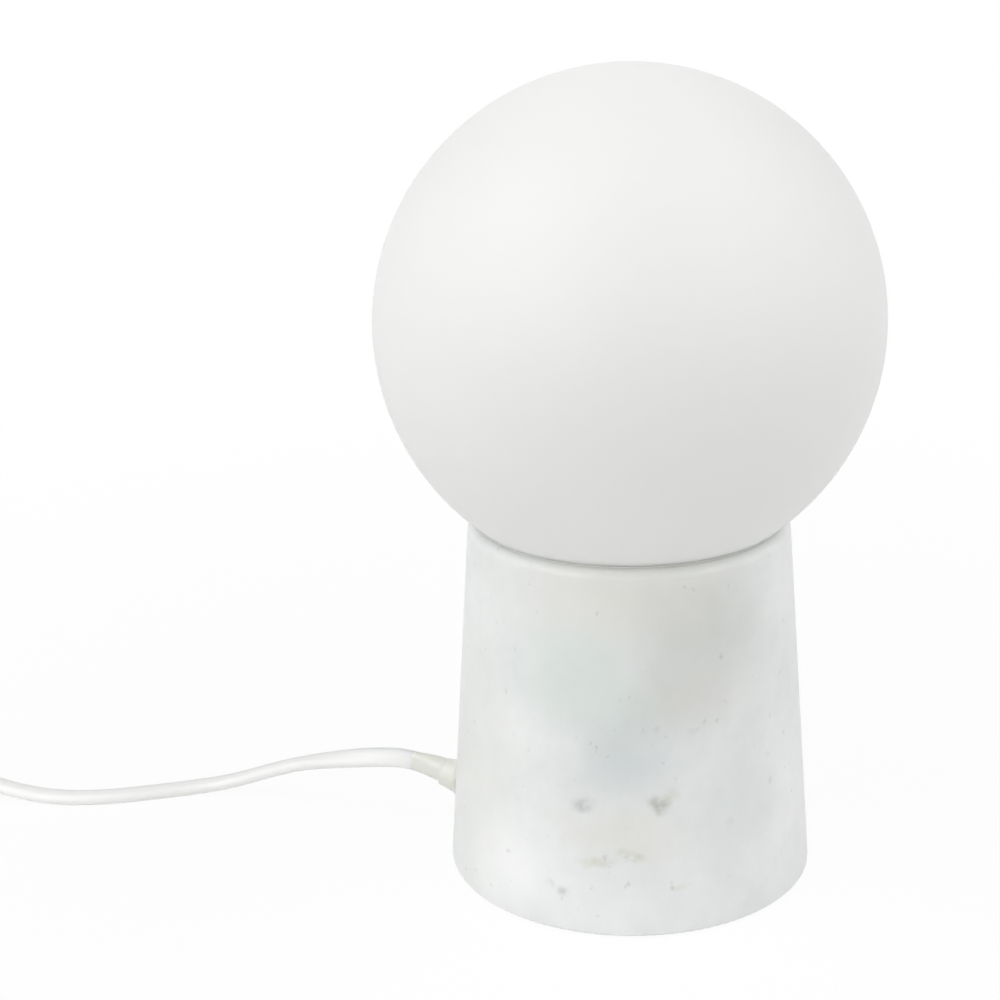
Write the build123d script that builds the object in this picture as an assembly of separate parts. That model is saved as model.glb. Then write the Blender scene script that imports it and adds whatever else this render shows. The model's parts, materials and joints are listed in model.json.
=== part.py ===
from build123d import *
import os
from math import cos, pi, radians, sin, sqrt, tan

# Table lamp: an opal glass globe that rests in the dished rim of a tapered marble base.
# Millimetres, +Z up. The origin is the centre of the foot, on the table, and -Y is the front.
# The cord leaves low on the left (-X) side and lies on the table, with its spare length coiled.

# Marble base, a truncated cone
foot_diameter = 112.8
rim_diameter = 97.2
stone_height = 111.5
foot_round = 1.0
rim_round = 2.8
rim_lip = 3.1  # lip round the dish
recess_depth = 25.5  # well round the lampholder, below the rim
stem_bore_diameter = 11.0
chamber_diameter = 60.0  # wiring chamber, open below
past = 1.0  # how far a cutter runs past the face it cuts
fused = 0.5  # how far one piece's shapes run into each other

# Foot pad and the cover over the wiring chamber
pad_diameter = 88.0
pad_thickness = 2.5
pad_proud = 0.5
cover_thickness = 2.0
cover_clearance = 0.3
cover_screw_count = 3
cover_screw_diameter = 3.0
cover_screw_length = 9.0
cover_screw_head_diameter = 5.6
cover_hole_gap = 0.2
head_gap = 0.05
insert_diameter = 5.0
insert_length = 7.0

# Glass globe and its seat
globe_diameter = 150.0
globe_wall = 3.0
globe_mouth_diameter = 69.0  # outer edge of the ground mouth
mouth_clearance = 2.0
seat_gap = 0.5  # globe to dish
seat_ring_section = 3.0
seat_ring_gap = 0.3  # globe to ring
seat_groove_gap = 0.1

# Threaded hollow stem that clamps the lampholder to the stone
stem_diameter = 10.0
stem_wall = 1.0
stem_tail = 3.0  # below the lower nut
stem_into_holder = 6.5
nut_across_flats = 14.0
nut_height = 4.0
washer_diameter = 30.0
washer_thickness = 2.0
upper_washer_diameter = 20.0
upper_washer_thickness = 1.0
stem_hole_gap = 0.2
thread_clearance = 0.05
carrier_diameter = 68.0
carrier_thickness = 2.0

# Small screw-base lampholder
holder_diameter = 28.4
holder_wall = 1.6
dome_height = 20.0
skirt_height = 29.7
skirt_mouth_diameter = 18.6
core_bottom = 10.0  # heights inside the holder, from its base
core_floor = 24.0
shell_height = 20.0
shell_wall = 0.4
holder_gap = 0.4  # under the holder, and between its dome and skirt
dome_corner = 3.0
dome_floor = 2.0
hub_wall = 2.5
hub_height = 7.0
lock_screw_diameter = 3.0
lock_screw_length = 4.0
lock_screw_height = 4.5
neck_wall = 1.5  # threaded neck of the skirt, inside the dome
neck_depth = 6.0
skirt_edge = 1.5
skirt_roof = 2.0
skirt_slope = 2.0
grip_count = 24
grip_radius = 0.5
grip_length = 8.0
grip_start = 2.0
core_gap = 0.2
collar_wall = 1.4
collar_foot = 1.0
collar_below = 2.0
terminal_depth = 6.0
terminal_screw_diameter = 2.8
terminal_screw_height = 3.0
terminal_screw_gap = 0.1
leaf_thickness = 0.4
leaf_width = 4.0
leaf_crown = 2.2
leaf_lift = 0.3
leaf_side = 2.0
leaf_shorter = 1.0  # at its free end
leaf_rise = 2.5  # floor to the bulb's tip
terminal_spacing = 13.0

# Golf-ball bulb on a small screw base
bulb_diameter = 45.0
bulb_length = 78.0
bulb_glass = 0.9
cap_diameter = 13.8
cap_length = 25.0
cap_wall = 0.3
cap_clearance = 0.25
contact_gap = 0.3
neck_diameter = 16.0
filament_count = 4
filament_length = 26.0
filament_diameter = 1.8
filament_circle = 9.0
filament_lean = 4.0
filament_wire_radius = 0.35
filament_wire_gap = 0.5
filament_wire_bend = 2.4
filament_wire_knee = 5.0
filament_wire_foot = (2.8, 14.0)  # from the axis, and below the bulb's centre
filament_disc_radius = 6.2
filament_disc_thickness = 0.7
filament_disc_rise = 0.8
shoulder_angle = 48.0  # degrees below the bulb's widest place
neck_height = 5.0
mount_gap = 0.1
mount_rim = 1.0
mount_flare = 6.0
mount_foot_radius = 2.6
mount_top_radius = 2.2
mount_below = 12.0  # under the bulb's centre
cap_lip = 0.7
cap_lip_height = 2.0
tip_radius = 2.4
tip_height = 1.2
tip_edge = 0.8
insulator_radius = 3.2
insulator_height = 3.5  # cap's lower edge, above the tip
insulator_inside = 2.0
insulator_gap = 0.05

# Mains cord, its bush and its clamp
cord_diameter = 6.4  # the wide side of a flat twin cord
cord_exit_height = 20.0
cord_exit_turn = 14.0  # degrees behind straight left
bush_barrel_diameter = 9.8
bush_barrel_length = 12.0
bush_flange_diameter = 11.4
bush_flange_thickness = 1.6
bush_end_diameter = 8.8
bush_reach = 6.5  # outside the stone
bush_straight = 10.5  # run of the cord straight out of it
bush_clearance = 0.1
bush_edge = 0.4
bush_root = 2.0  # flange's blank, cut off at the stone's face
bush_step = 0.5
bush_taper = 0.3
bush_taper_length = 2.4
bush_round = 0.6
tail_turn = 23.0  # the bush's soft tail, bent by the cord: degrees behind straight left
tail_lift = 10.0  # and degrees upwards
lead_bend = 20.0
lead_clearance = 0.05
wire_diameter = 2.3
wire_bend = 6.5
wire_spacing = 3.0
wire_small_bend = 1.6
wire_gap = 0.15
wire_in_core = 5.0
wire_below_top = 1.0  # bend, under the stem's end
wire_below_core = 0.5
lead_end = 10.0  # where the sheath stops, from the axis
clamp_distance = 19.0
clamp_length = 9.0
clamp_thickness = 2.5
clamp_screw_spacing = 15.0
clamp_screw_diameter = 2.9
clamp_edge = 4.0
clamp_pilot_depth = 8.0
clamp_screw_reach = 7.5
clamp_head_overlap = 1.3
clamp_head_height = 1.6
clamp_head_slope = 0.2
clamp_hole_gap = 0.1
clamp_thread_gap = 0.05

# Rocker switch on the cord
switch_x = -265.0
switch_y = 48.0
switch_length = 58.0
switch_width = 24.0
switch_height = 16.5
switch_split = 8.2  # height of the joint line and of the cord
switch_wall = 1.8
switch_end = 6.0
switch_corner = 7.0
switch_screw_spacing = 36.0
rocker_length = 15.0
rocker_width = 8.6
rocker_gap = 0.4
rocker_tilt = 8.0  # degrees each way
rocker_pin_diameter = 1.5
rocker_pin_ends = 1.5
rocker_pin_gap = 0.03
rocker_pin_end_gap = 0.2
rocker_bore_gap = 0.05
rocker_depth = 3.2  # axis, under the switch's top
rocker_proud = 0.4
rocker_shoulder = 0.4  # lower corner of its ends, above the axis
rocker_under = 2.2
rocker_cut = 2.0
rocker_window_gap = 0.8
rocker_window_depth = 10.0
rocker_ear = (4.4, 2.2, 5.0)
cavity_corner = 3.0
switch_foot_edge = 1.0
switch_top_round = 2.6
boss_radius = 3.4
upper_boss_radius = 3.0
switch_screw_diameter = 2.7
switch_screw_hole_gap = 0.15
switch_thread_gap = 0.1
switch_head_radius = 2.7
switch_head_gap = 0.2
switch_head_top = 2.4
switch_head_sunk = 0.5
switch_thread_depth = 5.5
switch_screw_depth = 5.0
contact_strip = (18.0, 4.0, 0.8)
contact_side = 5.5
contact_offset = 6.0
contact_terminal = (14.6, 4.4)  # place along the strip, and height
contact_fork = (2.6, 3.2)

# Two-pin plug
plug_x = -286.0  # where the cord enters
plug_y = -87.5
plug_grommet_length = 14.0
plug_length = 37.0
plug_width = 35.3
plug_thickness = 13.7
pin_diameter = 4.0
pin_length = 19.0
pin_spacing = 18.6
pin_root = 8.0
sleeve_diameter = 3.6
sleeve_length = 10.0
pin_core_diameter = 3.0
pin_edge = 1.0
pin_fit_gap = 0.03
plug_back = (15.0, 12.3, 5.0)  # width, thickness and corner at the back, waist and face
plug_waist = (22.0, 13.3, 5.5)
plug_waist_place = 0.45
plug_face_corner = 6.0
grommet_wall = 0.9
grommet_radius = 5.4
grommet_rib_count = 4
grommet_rib_pitch = 3.0
grommet_rib_start = 2.2
grommet_slot = 1.2
grommet_core_wall = 1.0
grommet_slot_radius = 8.0

# Coil of spare cord
coil_x = -294.0
coil_y = -24.0
coil_radius = 47.0  # outermost turn, at the cord's centre line
coil_turns = 3  # in each of the two layers
coil_gap = 0.45
tie_width = 5.0
tie_thickness = 0.6
tie_clearance = 0.3
tie_side_clearance = 0.9
tie_tail = (2.4, 16.0, 1.4)
tie_tail_turn = 25.0
sample_step = 4.0  # of the coil, where its gaps are measured
arc_share = 0.45  # of the shorter run, in each arc of a cord
switch_run = 15.0  # straight cord at the switch and plug
coil_run = 17.0  # and at the coil
coil_over_table = 0.05

# The cord's route, chosen by hand: lamp to switch, switch to coil, coil to plug
lamp_route = [
    (-82.0, 25.2, 21.9), (-94.0, 31.4, 18.7), (-106.0, 37.7, 14.6), (-118.5, 42.0, 9.8),
    (-131.0, 44.5, 5.2), (-144.0, 44.6, 3.3), (-158.0, 42.0, 3.2), (-173.0, 38.9, 3.25),
    (-191.0, 39.3, 3.2), (-208.0, 43.8, 5.0),
]
coil_route = [(-324.4, 42.6, 6.2), (-335.6, 31.2, 4.7), (-341.1, 15.8, 4.2)]
plug_route = [(-336.5, -61.6, 8.8), (-327.6, -74.0, 6.4), (-315.4, -82.8, 5.7)]

# Worked out from the values above
foot_radius = foot_diameter / 2
rim_radius = rim_diameter / 2
dish_radius = rim_radius - rim_lip
globe_radius = globe_diameter / 2
mouth_radius = globe_mouth_diameter / 2
cup_radius = globe_radius + seat_gap
recess_radius = mouth_radius + mouth_clearance
globe_centre = stone_height + sqrt(cup_radius**2 - dish_radius**2)
recess_floor = stone_height - recess_depth
pad_recess_radius = pad_diameter / 2 + cover_clearance
cover_top = pad_thickness + cover_thickness
chamber_radius = chamber_diameter / 2
cover_screw_circle = (chamber_radius + pad_recess_radius) / 2
cord_radius = cord_diameter / 2
stem_radius = stem_diameter / 2
stem_bottom = cord_exit_height + wire_bend + wire_below_core
chamber_ceiling = stem_bottom + stem_tail + nut_height + washer_thickness
carrier_top = recess_floor + carrier_thickness
holder_base = carrier_top + upper_washer_thickness + nut_height + holder_gap
holder_radius = holder_diameter / 2
holder_top = holder_base + dome_height + holder_gap + skirt_height
bulb_tip = holder_base + core_floor + leaf_rise
neck_radius = holder_radius - holder_wall - 2 * thread_clearance
neck_bore_radius = neck_radius - neck_wall
core_radius = neck_bore_radius - core_gap
stem_top = holder_base + stem_into_holder
clamp_width = clamp_screw_spacing + 2 * clamp_edge
bulb_top = bulb_tip + bulb_length
bulb_centre = bulb_top - bulb_diameter / 2
cap_top = bulb_tip + cap_length
cap_radius = cap_diameter / 2
exit_direction = Vector(-cos(radians(cord_exit_turn)), sin(radians(cord_exit_turn)), 0)
exit_side = Vector(exit_direction.Y, -exit_direction.X, 0)
tail_direction = Vector(-cos(radians(tail_turn)) * cos(radians(tail_lift)),
                        sin(radians(tail_turn)) * cos(radians(tail_lift)), sin(radians(tail_lift)))
stone_at_exit = foot_radius - (foot_radius - rim_radius) * cord_exit_height / stone_height
tail_start = exit_direction * stone_at_exit + Vector(0, 0, cord_exit_height)
bush_end = tail_start + tail_direction * bush_reach
rocker_axis = switch_height - rocker_depth
pin_height = plug_thickness / 2
plug_front = plug_grommet_length + plug_length
coil_pitch = cord_diameter + coil_gap
coil_low = cord_radius + tie_clearance + tie_thickness + coil_over_table
coil_high = coil_low + coil_pitch


def turned(outline):
    """Solid of revolution about Z from (radius, height) points."""
    return revolve(make_face(Plane.XZ * Polyline(*outline, close=True)), Axis.Z)


def tube(outer, inner, low, high):
    return turned([(inner, low), (outer, low), (outer, high), (inner, high)])


def rod(radius, low, high):
    return turned([(0, low), (radius, low), (radius, high), (0, high)])


def hex_nut(bore, low, height):
    prism = extrude(RegularPolygon(nut_across_flats / 2, 6, major_radius=False), height)
    return Pos(0, 0, low) * prism - rod(bore, low - past, low + height + past)


def along_exit(shape):
    """Turn a shape made along Z onto the cord hole's axis, Z = 0 at the lamp's axis."""
    plane = Plane(origin=(0, 0, cord_exit_height), x_dir=(0, 0, 1), z_dir=exit_direction)
    return plane.location * shape


def exit_point(distance, side=0.0, height=0.0):
    place = exit_direction * distance + exit_side * side
    return Vector(place.X, place.Y, cord_exit_height + height)


def on_circle(radius, count, turn=0.0):
    return [Rot(0, 0, turn + 360 / count * i) * Pos(radius, 0, 0) for i in range(count)]


def edges_at(shape, radius, height):
    """Circular edges of one radius at one height."""
    circles = shape.edges().filter_by(GeomType.CIRCLE)
    return [e for e in circles if abs(e.radius - radius) < 0.01 and abs(e.arc_center.Z - height) < 0.01]


def stone_cone(grow=0.0):
    low = pad_proud
    low_radius = foot_radius - (foot_radius - rim_radius) * low / stone_height
    return turned([(0, low), (low_radius + grow, low), (rim_radius + grow, stone_height),
                   (0, stone_height)])


def seat_ring_place():
    """Radius and height of the seat ring's section, measured from the globe's centre."""
    radius = (recess_radius + dish_radius) / 2
    reach = globe_radius + seat_ring_gap + seat_ring_section / 2
    return radius, globe_centre - sqrt(reach**2 - radius**2)


def ring_about_z(radius, height, section):
    return Pos(0, 0, height) * Torus(radius, section / 2)


def make_stone():
    stone = stone_cone()
    stone = fillet(edges_at(stone, rim_radius, stone_height), rim_round)
    low_radius = foot_radius - (foot_radius - rim_radius) * pad_proud / stone_height
    stone = fillet(edges_at(stone, low_radius, pad_proud), foot_round)
    cup_bottom = globe_centre - sqrt(cup_radius**2 - recess_radius**2)
    dish = Pos(0, 0, globe_centre) * Sphere(cup_radius)
    stone -= dish - rod(cup_radius, globe_centre - 2 * cup_radius, cup_bottom)
    stone -= rod(recess_radius, recess_floor, cup_bottom + past)
    stone -= rod(stem_bore_diameter / 2, 0, stone_height)
    stone -= rod(chamber_radius, 0, chamber_ceiling)
    stone -= rod(pad_recess_radius, 0, cover_top)
    for place in on_circle(cover_screw_circle, cover_screw_count, 90):
        stone -= place * rod(insert_diameter / 2, cover_top, cover_top + cover_screw_length)
    bore_start = chamber_radius - bush_barrel_diameter / 2
    stone -= along_exit(rod(bush_barrel_diameter / 2 + bush_clearance, bore_start, foot_radius + past))
    ring_radius, ring_height = seat_ring_place()
    return stone - ring_about_z(ring_radius, ring_height, seat_ring_section + 2 * seat_groove_gap)


def make_seat_ring():
    ring_radius, ring_height = seat_ring_place()
    return ring_about_z(ring_radius, ring_height, seat_ring_section)


def make_foot_pad():
    return rod(pad_diameter / 2, 0, pad_thickness)


def clamp_screw_places():
    return [exit_point(clamp_distance, side) for side in (-clamp_screw_spacing / 2, clamp_screw_spacing / 2)]


def clamp_block(width, low, high):
    """Block across the lead, square to it, between two heights."""
    turn = Rot(0, 0, 180 - cord_exit_turn)
    middle = exit_direction * clamp_distance
    return Pos(middle.X, middle.Y, (low + high) / 2) * turn * Box(clamp_length, width, high - low)


def make_base_cover():
    """Moulded cover with the saddle that the lead is clamped on."""
    cover = rod(pad_diameter / 2, pad_thickness, cover_top)
    saddle_top = cord_exit_height - cord_radius
    cover += clamp_block(clamp_width, cover_top - fused, saddle_top)
    pilot = rod(clamp_screw_diameter / 2, saddle_top - clamp_pilot_depth, saddle_top + past)
    for place in clamp_screw_places():
        cover -= Pos(place.X, place.Y, 0) * pilot
    head = cover_screw_head_diameter / 2
    for place in on_circle(cover_screw_circle, cover_screw_count, 90):
        cover -= place * rod(cover_screw_diameter / 2 + cover_hole_gap, 0, cover_top + past)
        cover -= place * turned([(0, pad_thickness), (head, pad_thickness), (0, pad_thickness + head)])
    return cover


def make_cover_screws():
    head = cover_screw_head_diameter / 2 - head_gap
    shank = cover_screw_diameter / 2
    screw = turned([(0, pad_thickness), (head, pad_thickness), (shank, pad_thickness + head - shank),
                    (shank, pad_thickness + cover_screw_length), (0, pad_thickness + cover_screw_length)])
    return [place * screw for place in on_circle(cover_screw_circle, cover_screw_count, 90)]


def make_cover_inserts():
    bore = cover_screw_diameter / 2 + thread_clearance
    insert = tube(insert_diameter / 2, bore, cover_top, cover_top + insert_length)
    return [place * insert for place in on_circle(cover_screw_circle, cover_screw_count, 90)]


def make_stem():
    return tube(stem_radius, stem_radius - stem_wall, stem_bottom, stem_top)


def make_lower_nut():
    return hex_nut(stem_radius + thread_clearance, stem_bottom + stem_tail, nut_height)


def make_lower_washer():
    low = chamber_ceiling - washer_thickness
    return tube(washer_diameter / 2, stem_radius + stem_hole_gap, low, chamber_ceiling)


def make_carrier_plate():
    return tube(carrier_diameter / 2, stem_radius + stem_hole_gap, recess_floor, carrier_top)


def make_upper_washer():
    top = carrier_top + upper_washer_thickness
    return tube(upper_washer_diameter / 2, stem_radius + stem_hole_gap, carrier_top, top)


def make_upper_nut():
    return hex_nut(stem_radius + thread_clearance, carrier_top + upper_washer_thickness, nut_height)


def make_dome():
    """Lower cup of the lampholder, with the threaded hub that screws onto the stem."""
    base, top = holder_base, holder_base + dome_height
    bore = stem_radius + thread_clearance
    inner = holder_radius - holder_wall
    hub = stem_radius + hub_wall
    floor = base + dome_floor
    slope = dome_corner - holder_wall / 2
    dome = turned([(bore, base), (holder_radius - dome_corner, base), (holder_radius, base + dome_corner),
                   (holder_radius, top), (inner, top), (inner, floor + holder_wall), (inner - slope, floor),
                   (hub, floor), (hub, base + hub_height), (bore, base + hub_height)])
    lock = rod(lock_screw_diameter / 2 + thread_clearance, 0, holder_diameter)
    return dome - Pos(0, 0, base + lock_screw_height) * Rot(0, 90, 0) * lock


def make_lock_screw():
    start = stem_radius + 2 * thread_clearance
    screw = rod(lock_screw_diameter / 2, start, start + lock_screw_length)
    return Pos(0, 0, holder_base + lock_screw_height) * Rot(0, 90, 0) * screw


def make_skirt():
    """Upper sleeve, whose neck screws into the dome."""
    seam, top = holder_base + dome_height + holder_gap, holder_top
    mouth = skirt_mouth_diameter / 2
    skirt = turned([(neck_bore_radius, seam - neck_depth), (neck_radius, seam - neck_depth),
                    (neck_radius, seam), (holder_radius, seam), (holder_radius, top - skirt_edge),
                    (holder_radius - skirt_edge, top), (mouth, top), (mouth, top - skirt_roof),
                    (neck_bore_radius, top - skirt_roof - skirt_slope)])
    grip = Pos(0, 0, seam + grip_start) * rod(grip_radius, 0, grip_length)
    for place in on_circle(holder_radius, grip_count):
        skirt -= place * grip
    return skirt


def make_core():
    """Insulating insert that carries the contacts and the wires' terminals."""
    low, floor = holder_base + core_bottom, holder_base + core_floor
    bore = cap_radius + cap_clearance + shell_wall + thread_clearance
    collar = bore + collar_wall
    collar_top = floor + shell_height - collar_below
    core = turned([(0, low), (core_radius, low), (core_radius, floor), (collar, floor + collar_foot),
                   (collar, collar_top), (bore, collar_top), (bore, floor), (0, floor)])
    screw_hole = rod(terminal_screw_diameter / 2 + thread_clearance, terminal_spacing / 2, core_radius + past)
    for side in (-1, 1):
        wire_hole = rod(wire_diameter / 2 + wire_gap, low - past, low + terminal_depth)
        core -= Pos(side * terminal_spacing / 2, 0, 0) * wire_hole
        core -= Pos(0, 0, low + terminal_screw_height) * Rot(0, side * 90, 0) * screw_hole
    return core


def make_terminal_screws():
    start = terminal_spacing / 2 + wire_diameter / 2
    screw = rod(terminal_screw_diameter / 2, start, core_radius - terminal_screw_gap)
    place = Pos(0, 0, holder_base + core_bottom + terminal_screw_height)
    return [place * Rot(0, turn, 0) * screw for turn in (90, -90)]


def make_socket_shell():
    floor = holder_base + core_floor
    inner = cap_radius + cap_clearance
    return tube(inner + shell_wall, inner, floor, floor + shell_height)


def make_centre_contact():
    """Sprung brass leaf under the bulb's tip."""
    floor, leaf = holder_base + core_floor, leaf_thickness
    crown = bulb_tip - contact_gap
    fixed, free = cap_radius - leaf_side, cap_radius - leaf_side - leaf_shorter
    under = leaf_crown - leaf / 2
    outline = Polyline((-fixed, floor), (-fixed, floor + leaf), (-leaf_crown, crown), (leaf_crown, crown),
                       (free, floor + leaf + leaf_lift), (free, floor + leaf_lift), (under, crown - leaf),
                       (-under, crown - leaf), (-fixed + 3 * leaf, floor), close=True)
    return extrude(make_face(Plane.XZ * outline), leaf_width / 2, both=True)


def bulb_form(inset):
    """Outside of the bulb's glass, or its hollow when inset by the wall."""
    radius = bulb_diameter / 2 - inset
    neck = neck_diameter / 2 - inset
    bottom = cap_top + inset / 2
    neck_top = bottom + neck_height
    angle = radians(-shoulder_angle)
    shoulder = (radius * cos(angle), bulb_centre + radius * sin(angle))
    side = TangentArc(shoulder, (neck, neck_top), tangent=(sin(angle), -cos(angle)))
    crown = ThreePointArc(shoulder, (radius, bulb_centre), (0, bulb_centre + radius))
    base = Polyline((neck, neck_top), (neck, bottom), (0, bottom), (0, bulb_centre + radius))
    return revolve(make_face(Plane.XZ * (side + crown + base)), Axis.Z)


def make_bulb_glass():
    return bulb_form(0) - bulb_form(bulb_glass)


def make_bulb_stem():
    """Glass mount that carries the filaments, sealed into the neck."""
    seal = cap_top + bulb_glass / 2
    neck = neck_diameter / 2 - bulb_glass - mount_gap
    top = bulb_centre - mount_below
    return turned([(0, seal), (neck, seal), (neck, seal + mount_rim), (mount_foot_radius, seal + mount_flare),
                   (mount_top_radius, top), (0, top + mount_rim)])


def filament_places():
    return on_circle(0, filament_count)


def make_filaments():
    start = Vector(filament_circle, 0, bulb_centre - filament_length / 2)
    end = Vector(filament_circle - filament_lean, 0, bulb_centre + filament_length / 2)
    along = Plane(origin=start, z_dir=end - start).location
    stick = along * rod(filament_diameter / 2, 0, (end - start).length)
    return [place * stick for place in filament_places()]


def make_filament_wires():
    """Stiff wires from the glass mount to the filaments' feet, and the disc that ties their tops."""
    low = bulb_centre - filament_length / 2
    out, down = filament_wire_foot
    path = Polyline((out, 0, bulb_centre - down), (filament_wire_knee, 0, low - filament_wire_bend),
                    (filament_circle, 0, low - filament_wire_gap))
    section = Plane(origin=path @ 0, z_dir=path % 0) * Circle(filament_wire_radius)
    wire = sweep(section, path, transition=Transition.ROUND)
    disc = Cylinder(filament_disc_radius, filament_disc_thickness)
    disc_height = bulb_centre + filament_length / 2 + filament_disc_rise
    return [place * wire for place in filament_places()] + [Pos(0, 0, disc_height) * disc]


def make_cap():
    low = bulb_tip + insulator_height
    inner = cap_radius - cap_wall
    lip = cap_top - cap_lip_height
    return turned([(inner, low), (cap_radius, low), (cap_radius, lip), (cap_radius + cap_lip, cap_top),
                   (inner + cap_lip, cap_top), (inner, lip)])


def make_cap_insulator():
    edge = cap_radius - cap_wall - insulator_gap
    low, cap_low = bulb_tip + tip_height, bulb_tip + insulator_height
    top = cap_low + insulator_inside
    return turned([(0, low), (insulator_radius, low), (edge, cap_low), (edge, top), (0, top)])


def make_cap_contact():
    top = bulb_tip + tip_height
    return turned([(0, bulb_tip), (tip_radius - tip_edge, bulb_tip), (tip_radius, bulb_tip + tip_height / 2),
                   (tip_radius, top), (0, top)])


def make_globe():
    mouth = globe_centre - sqrt(globe_radius**2 - mouth_radius**2)
    globe = Pos(0, 0, globe_centre) * (Sphere(globe_radius) - Sphere(globe_radius - globe_wall))
    return globe - rod(globe_radius, mouth - globe_radius, mouth)


def along_tail(shape):
    """Turn a shape made along Z onto the bush's bent tail, Z = 0 at the stone's face."""
    return Plane(origin=tail_start, x_dir=(0, 0, 1), z_dir=tail_direction).location * shape


def lead_tube(radius, beyond):
    """Straight through the stone, then bent with the bush's tail."""
    end = bush_end + tail_direction * beyond
    path = FilletPolyline(exit_point(lead_end), tail_start, end, radius=lead_bend)
    return sweep(Plane(origin=path @ 0, z_dir=path % 0) * Circle(radius), path)


def make_bush():
    """Clear strain relief: a barrel in the stone, then a flange and a taper outside it."""
    skin = stone_at_exit
    flange = bush_flange_diameter / 2
    end = bush_end_diameter / 2
    face = bush_flange_thickness
    root = flange - bush_step
    ring = turned([(0, skin - bush_root), (flange, skin - bush_root), (flange, skin + face - bush_edge),
                   (flange - bush_edge, skin + face), (0, skin + face)])
    taper = turned([(0, -past), (root, -past), (root, face), (end + bush_taper, face + bush_taper_length),
                    (end, bush_reach - bush_round), (end - bush_step, bush_reach), (0, bush_reach)])
    bush = along_exit(ring) + along_tail(taper) - stone_cone(bush_clearance / 2)
    bush += along_exit(rod(bush_barrel_diameter / 2, skin - bush_barrel_length, skin + past))
    return bush - lead_tube(cord_radius + lead_clearance, past)


def make_inner_lead():
    return lead_tube(cord_radius, 0)


def make_clamp_bar():
    low = cord_exit_height + cord_radius
    top = low + clamp_thickness
    bar = clamp_block(clamp_width, low, top)
    for place in clamp_screw_places():
        hole = rod(clamp_screw_diameter / 2 + clamp_hole_gap, low - past, top + past)
        bar -= Pos(place.X, place.Y, 0) * hole
    return bar


def make_clamp_screws():
    top = cord_exit_height + cord_radius + clamp_thickness
    shank = clamp_screw_diameter / 2 - clamp_thread_gap
    low = cord_exit_height - cord_radius - clamp_screw_reach
    head = shank + clamp_head_overlap
    head_top = top + clamp_head_height
    screw = turned([(0, low), (shank, low), (shank, top), (head, top), (head - clamp_head_slope, head_top),
                    (0, head_top)])
    return [Pos(place.X, place.Y, 0) * screw for place in clamp_screw_places()]


def make_wire(side):
    """One wire from the sheath's end, up the stem and out to its terminal."""
    low = exit_point(lead_end, side * wire_spacing / 2)
    bend = exit_point(0, side * wire_spacing / 2)
    terminal = terminal_spacing / 2 * side
    core_low = holder_base + core_bottom
    points = [low, bend, Vector(bend.X, bend.Y, stem_top - wire_below_top),
              Vector(terminal, 0, core_low - wire_below_core), Vector(terminal, 0, core_low + wire_in_core)]
    path = FilletPolyline(*points, radius=[wire_bend, wire_small_bend, wire_small_bend])
    return sweep(Plane(origin=path @ 0, z_dir=path % 0) * Circle(wire_diameter / 2), path)


def turn_angle(before, corner, after):
    return (corner - before).get_angle(after - corner)


def cord_tube(name, points):
    """Round tube along straight runs joined by arcs as large as the runs allow."""
    points = [Vector(*p) if isinstance(p, tuple) else p for p in points]
    radii = []
    for before, corner, after in zip(points, points[1:], points[2:]):
        run = min((corner - before).length, (after - corner).length)
        radii.append(arc_share * run / tan(radians(turn_angle(before, corner, after)) / 2))
    path = FilletPolyline(*points, radius=radii)
    solid = sweep(Plane(origin=path @ 0, z_dir=path % 0) * Circle(cord_radius), path)
    section = pi * cord_radius**2
    print(f"{name}: length {path.length:.1f}, radii {[round(r, 1) for r in radii]}, "
          f"volume {solid.volume / (section * path.length):.4f} of section times length")
    return solid, path.length


def biarc(start, start_way, end, end_way):
    """Two arcs from one point and direction to another, joined smoothly."""
    span = end - start
    ways = start_way + end_way
    bend = 1 - start_way.dot(end_way)
    reach = (sqrt(span.dot(ways) ** 2 + 2 * bend * span.dot(span)) - span.dot(ways)) / (2 * bend)
    middle = (start + end + (start_way - end_way) * reach) * 0.5
    chord = (middle - start).normalized()
    middle_way = chord * (2 * chord.dot(start_way)) - start_way
    return [TangentArc(start, middle, tangent=start_way), TangentArc(middle, end, tangent=middle_way)]


def coil_path():
    """Two layers: half turns that step inwards below, climb, and step outwards above."""
    left = [coil_x - coil_radius + coil_pitch * i for i in range(coil_turns + 1)]
    right = [coil_x + coil_radius - coil_pitch * i for i in range(coil_turns + 1)]
    stops = []
    for i in range(coil_turns):
        stops += [(left[i], coil_low), (right[i], coil_low)]
    stops += [(left[coil_turns], coil_low), (right[coil_turns], coil_high)]
    for i in reversed(range(coil_turns)):
        stops += [(left[i], coil_high), (right[i], coil_high)]
    stops.pop()
    towards, away = Vector(0, -1, 0), Vector(0, 1, 0)
    edges = [Line((left[0], coil_y + cord_diameter, coil_low), (left[0], coil_y, coil_low))]
    for i, ((x0, z0), (x1, z1)) in enumerate(zip(stops, stops[1:])):
        way = towards if i % 2 == 0 else away
        start, end = Vector(x0, coil_y, z0), Vector(x1, coil_y, z1)
        half = abs(x1 - x0) / 2
        middle = Vector((x0 + x1) / 2, coil_y + way.Y * half, (z0 + z1) / 2)
        middle_way = Vector(x1 - x0, 0, (z1 - z0) * 4 / pi).normalized()
        edges += biarc(start, way, middle, middle_way) + biarc(middle, middle_way, end, way * -1)
    edges.append(Line((left[0], coil_y, coil_high), (left[0], coil_y - cord_diameter, coil_high)))
    return Wire([edge.edge() for edge in edges])


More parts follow.
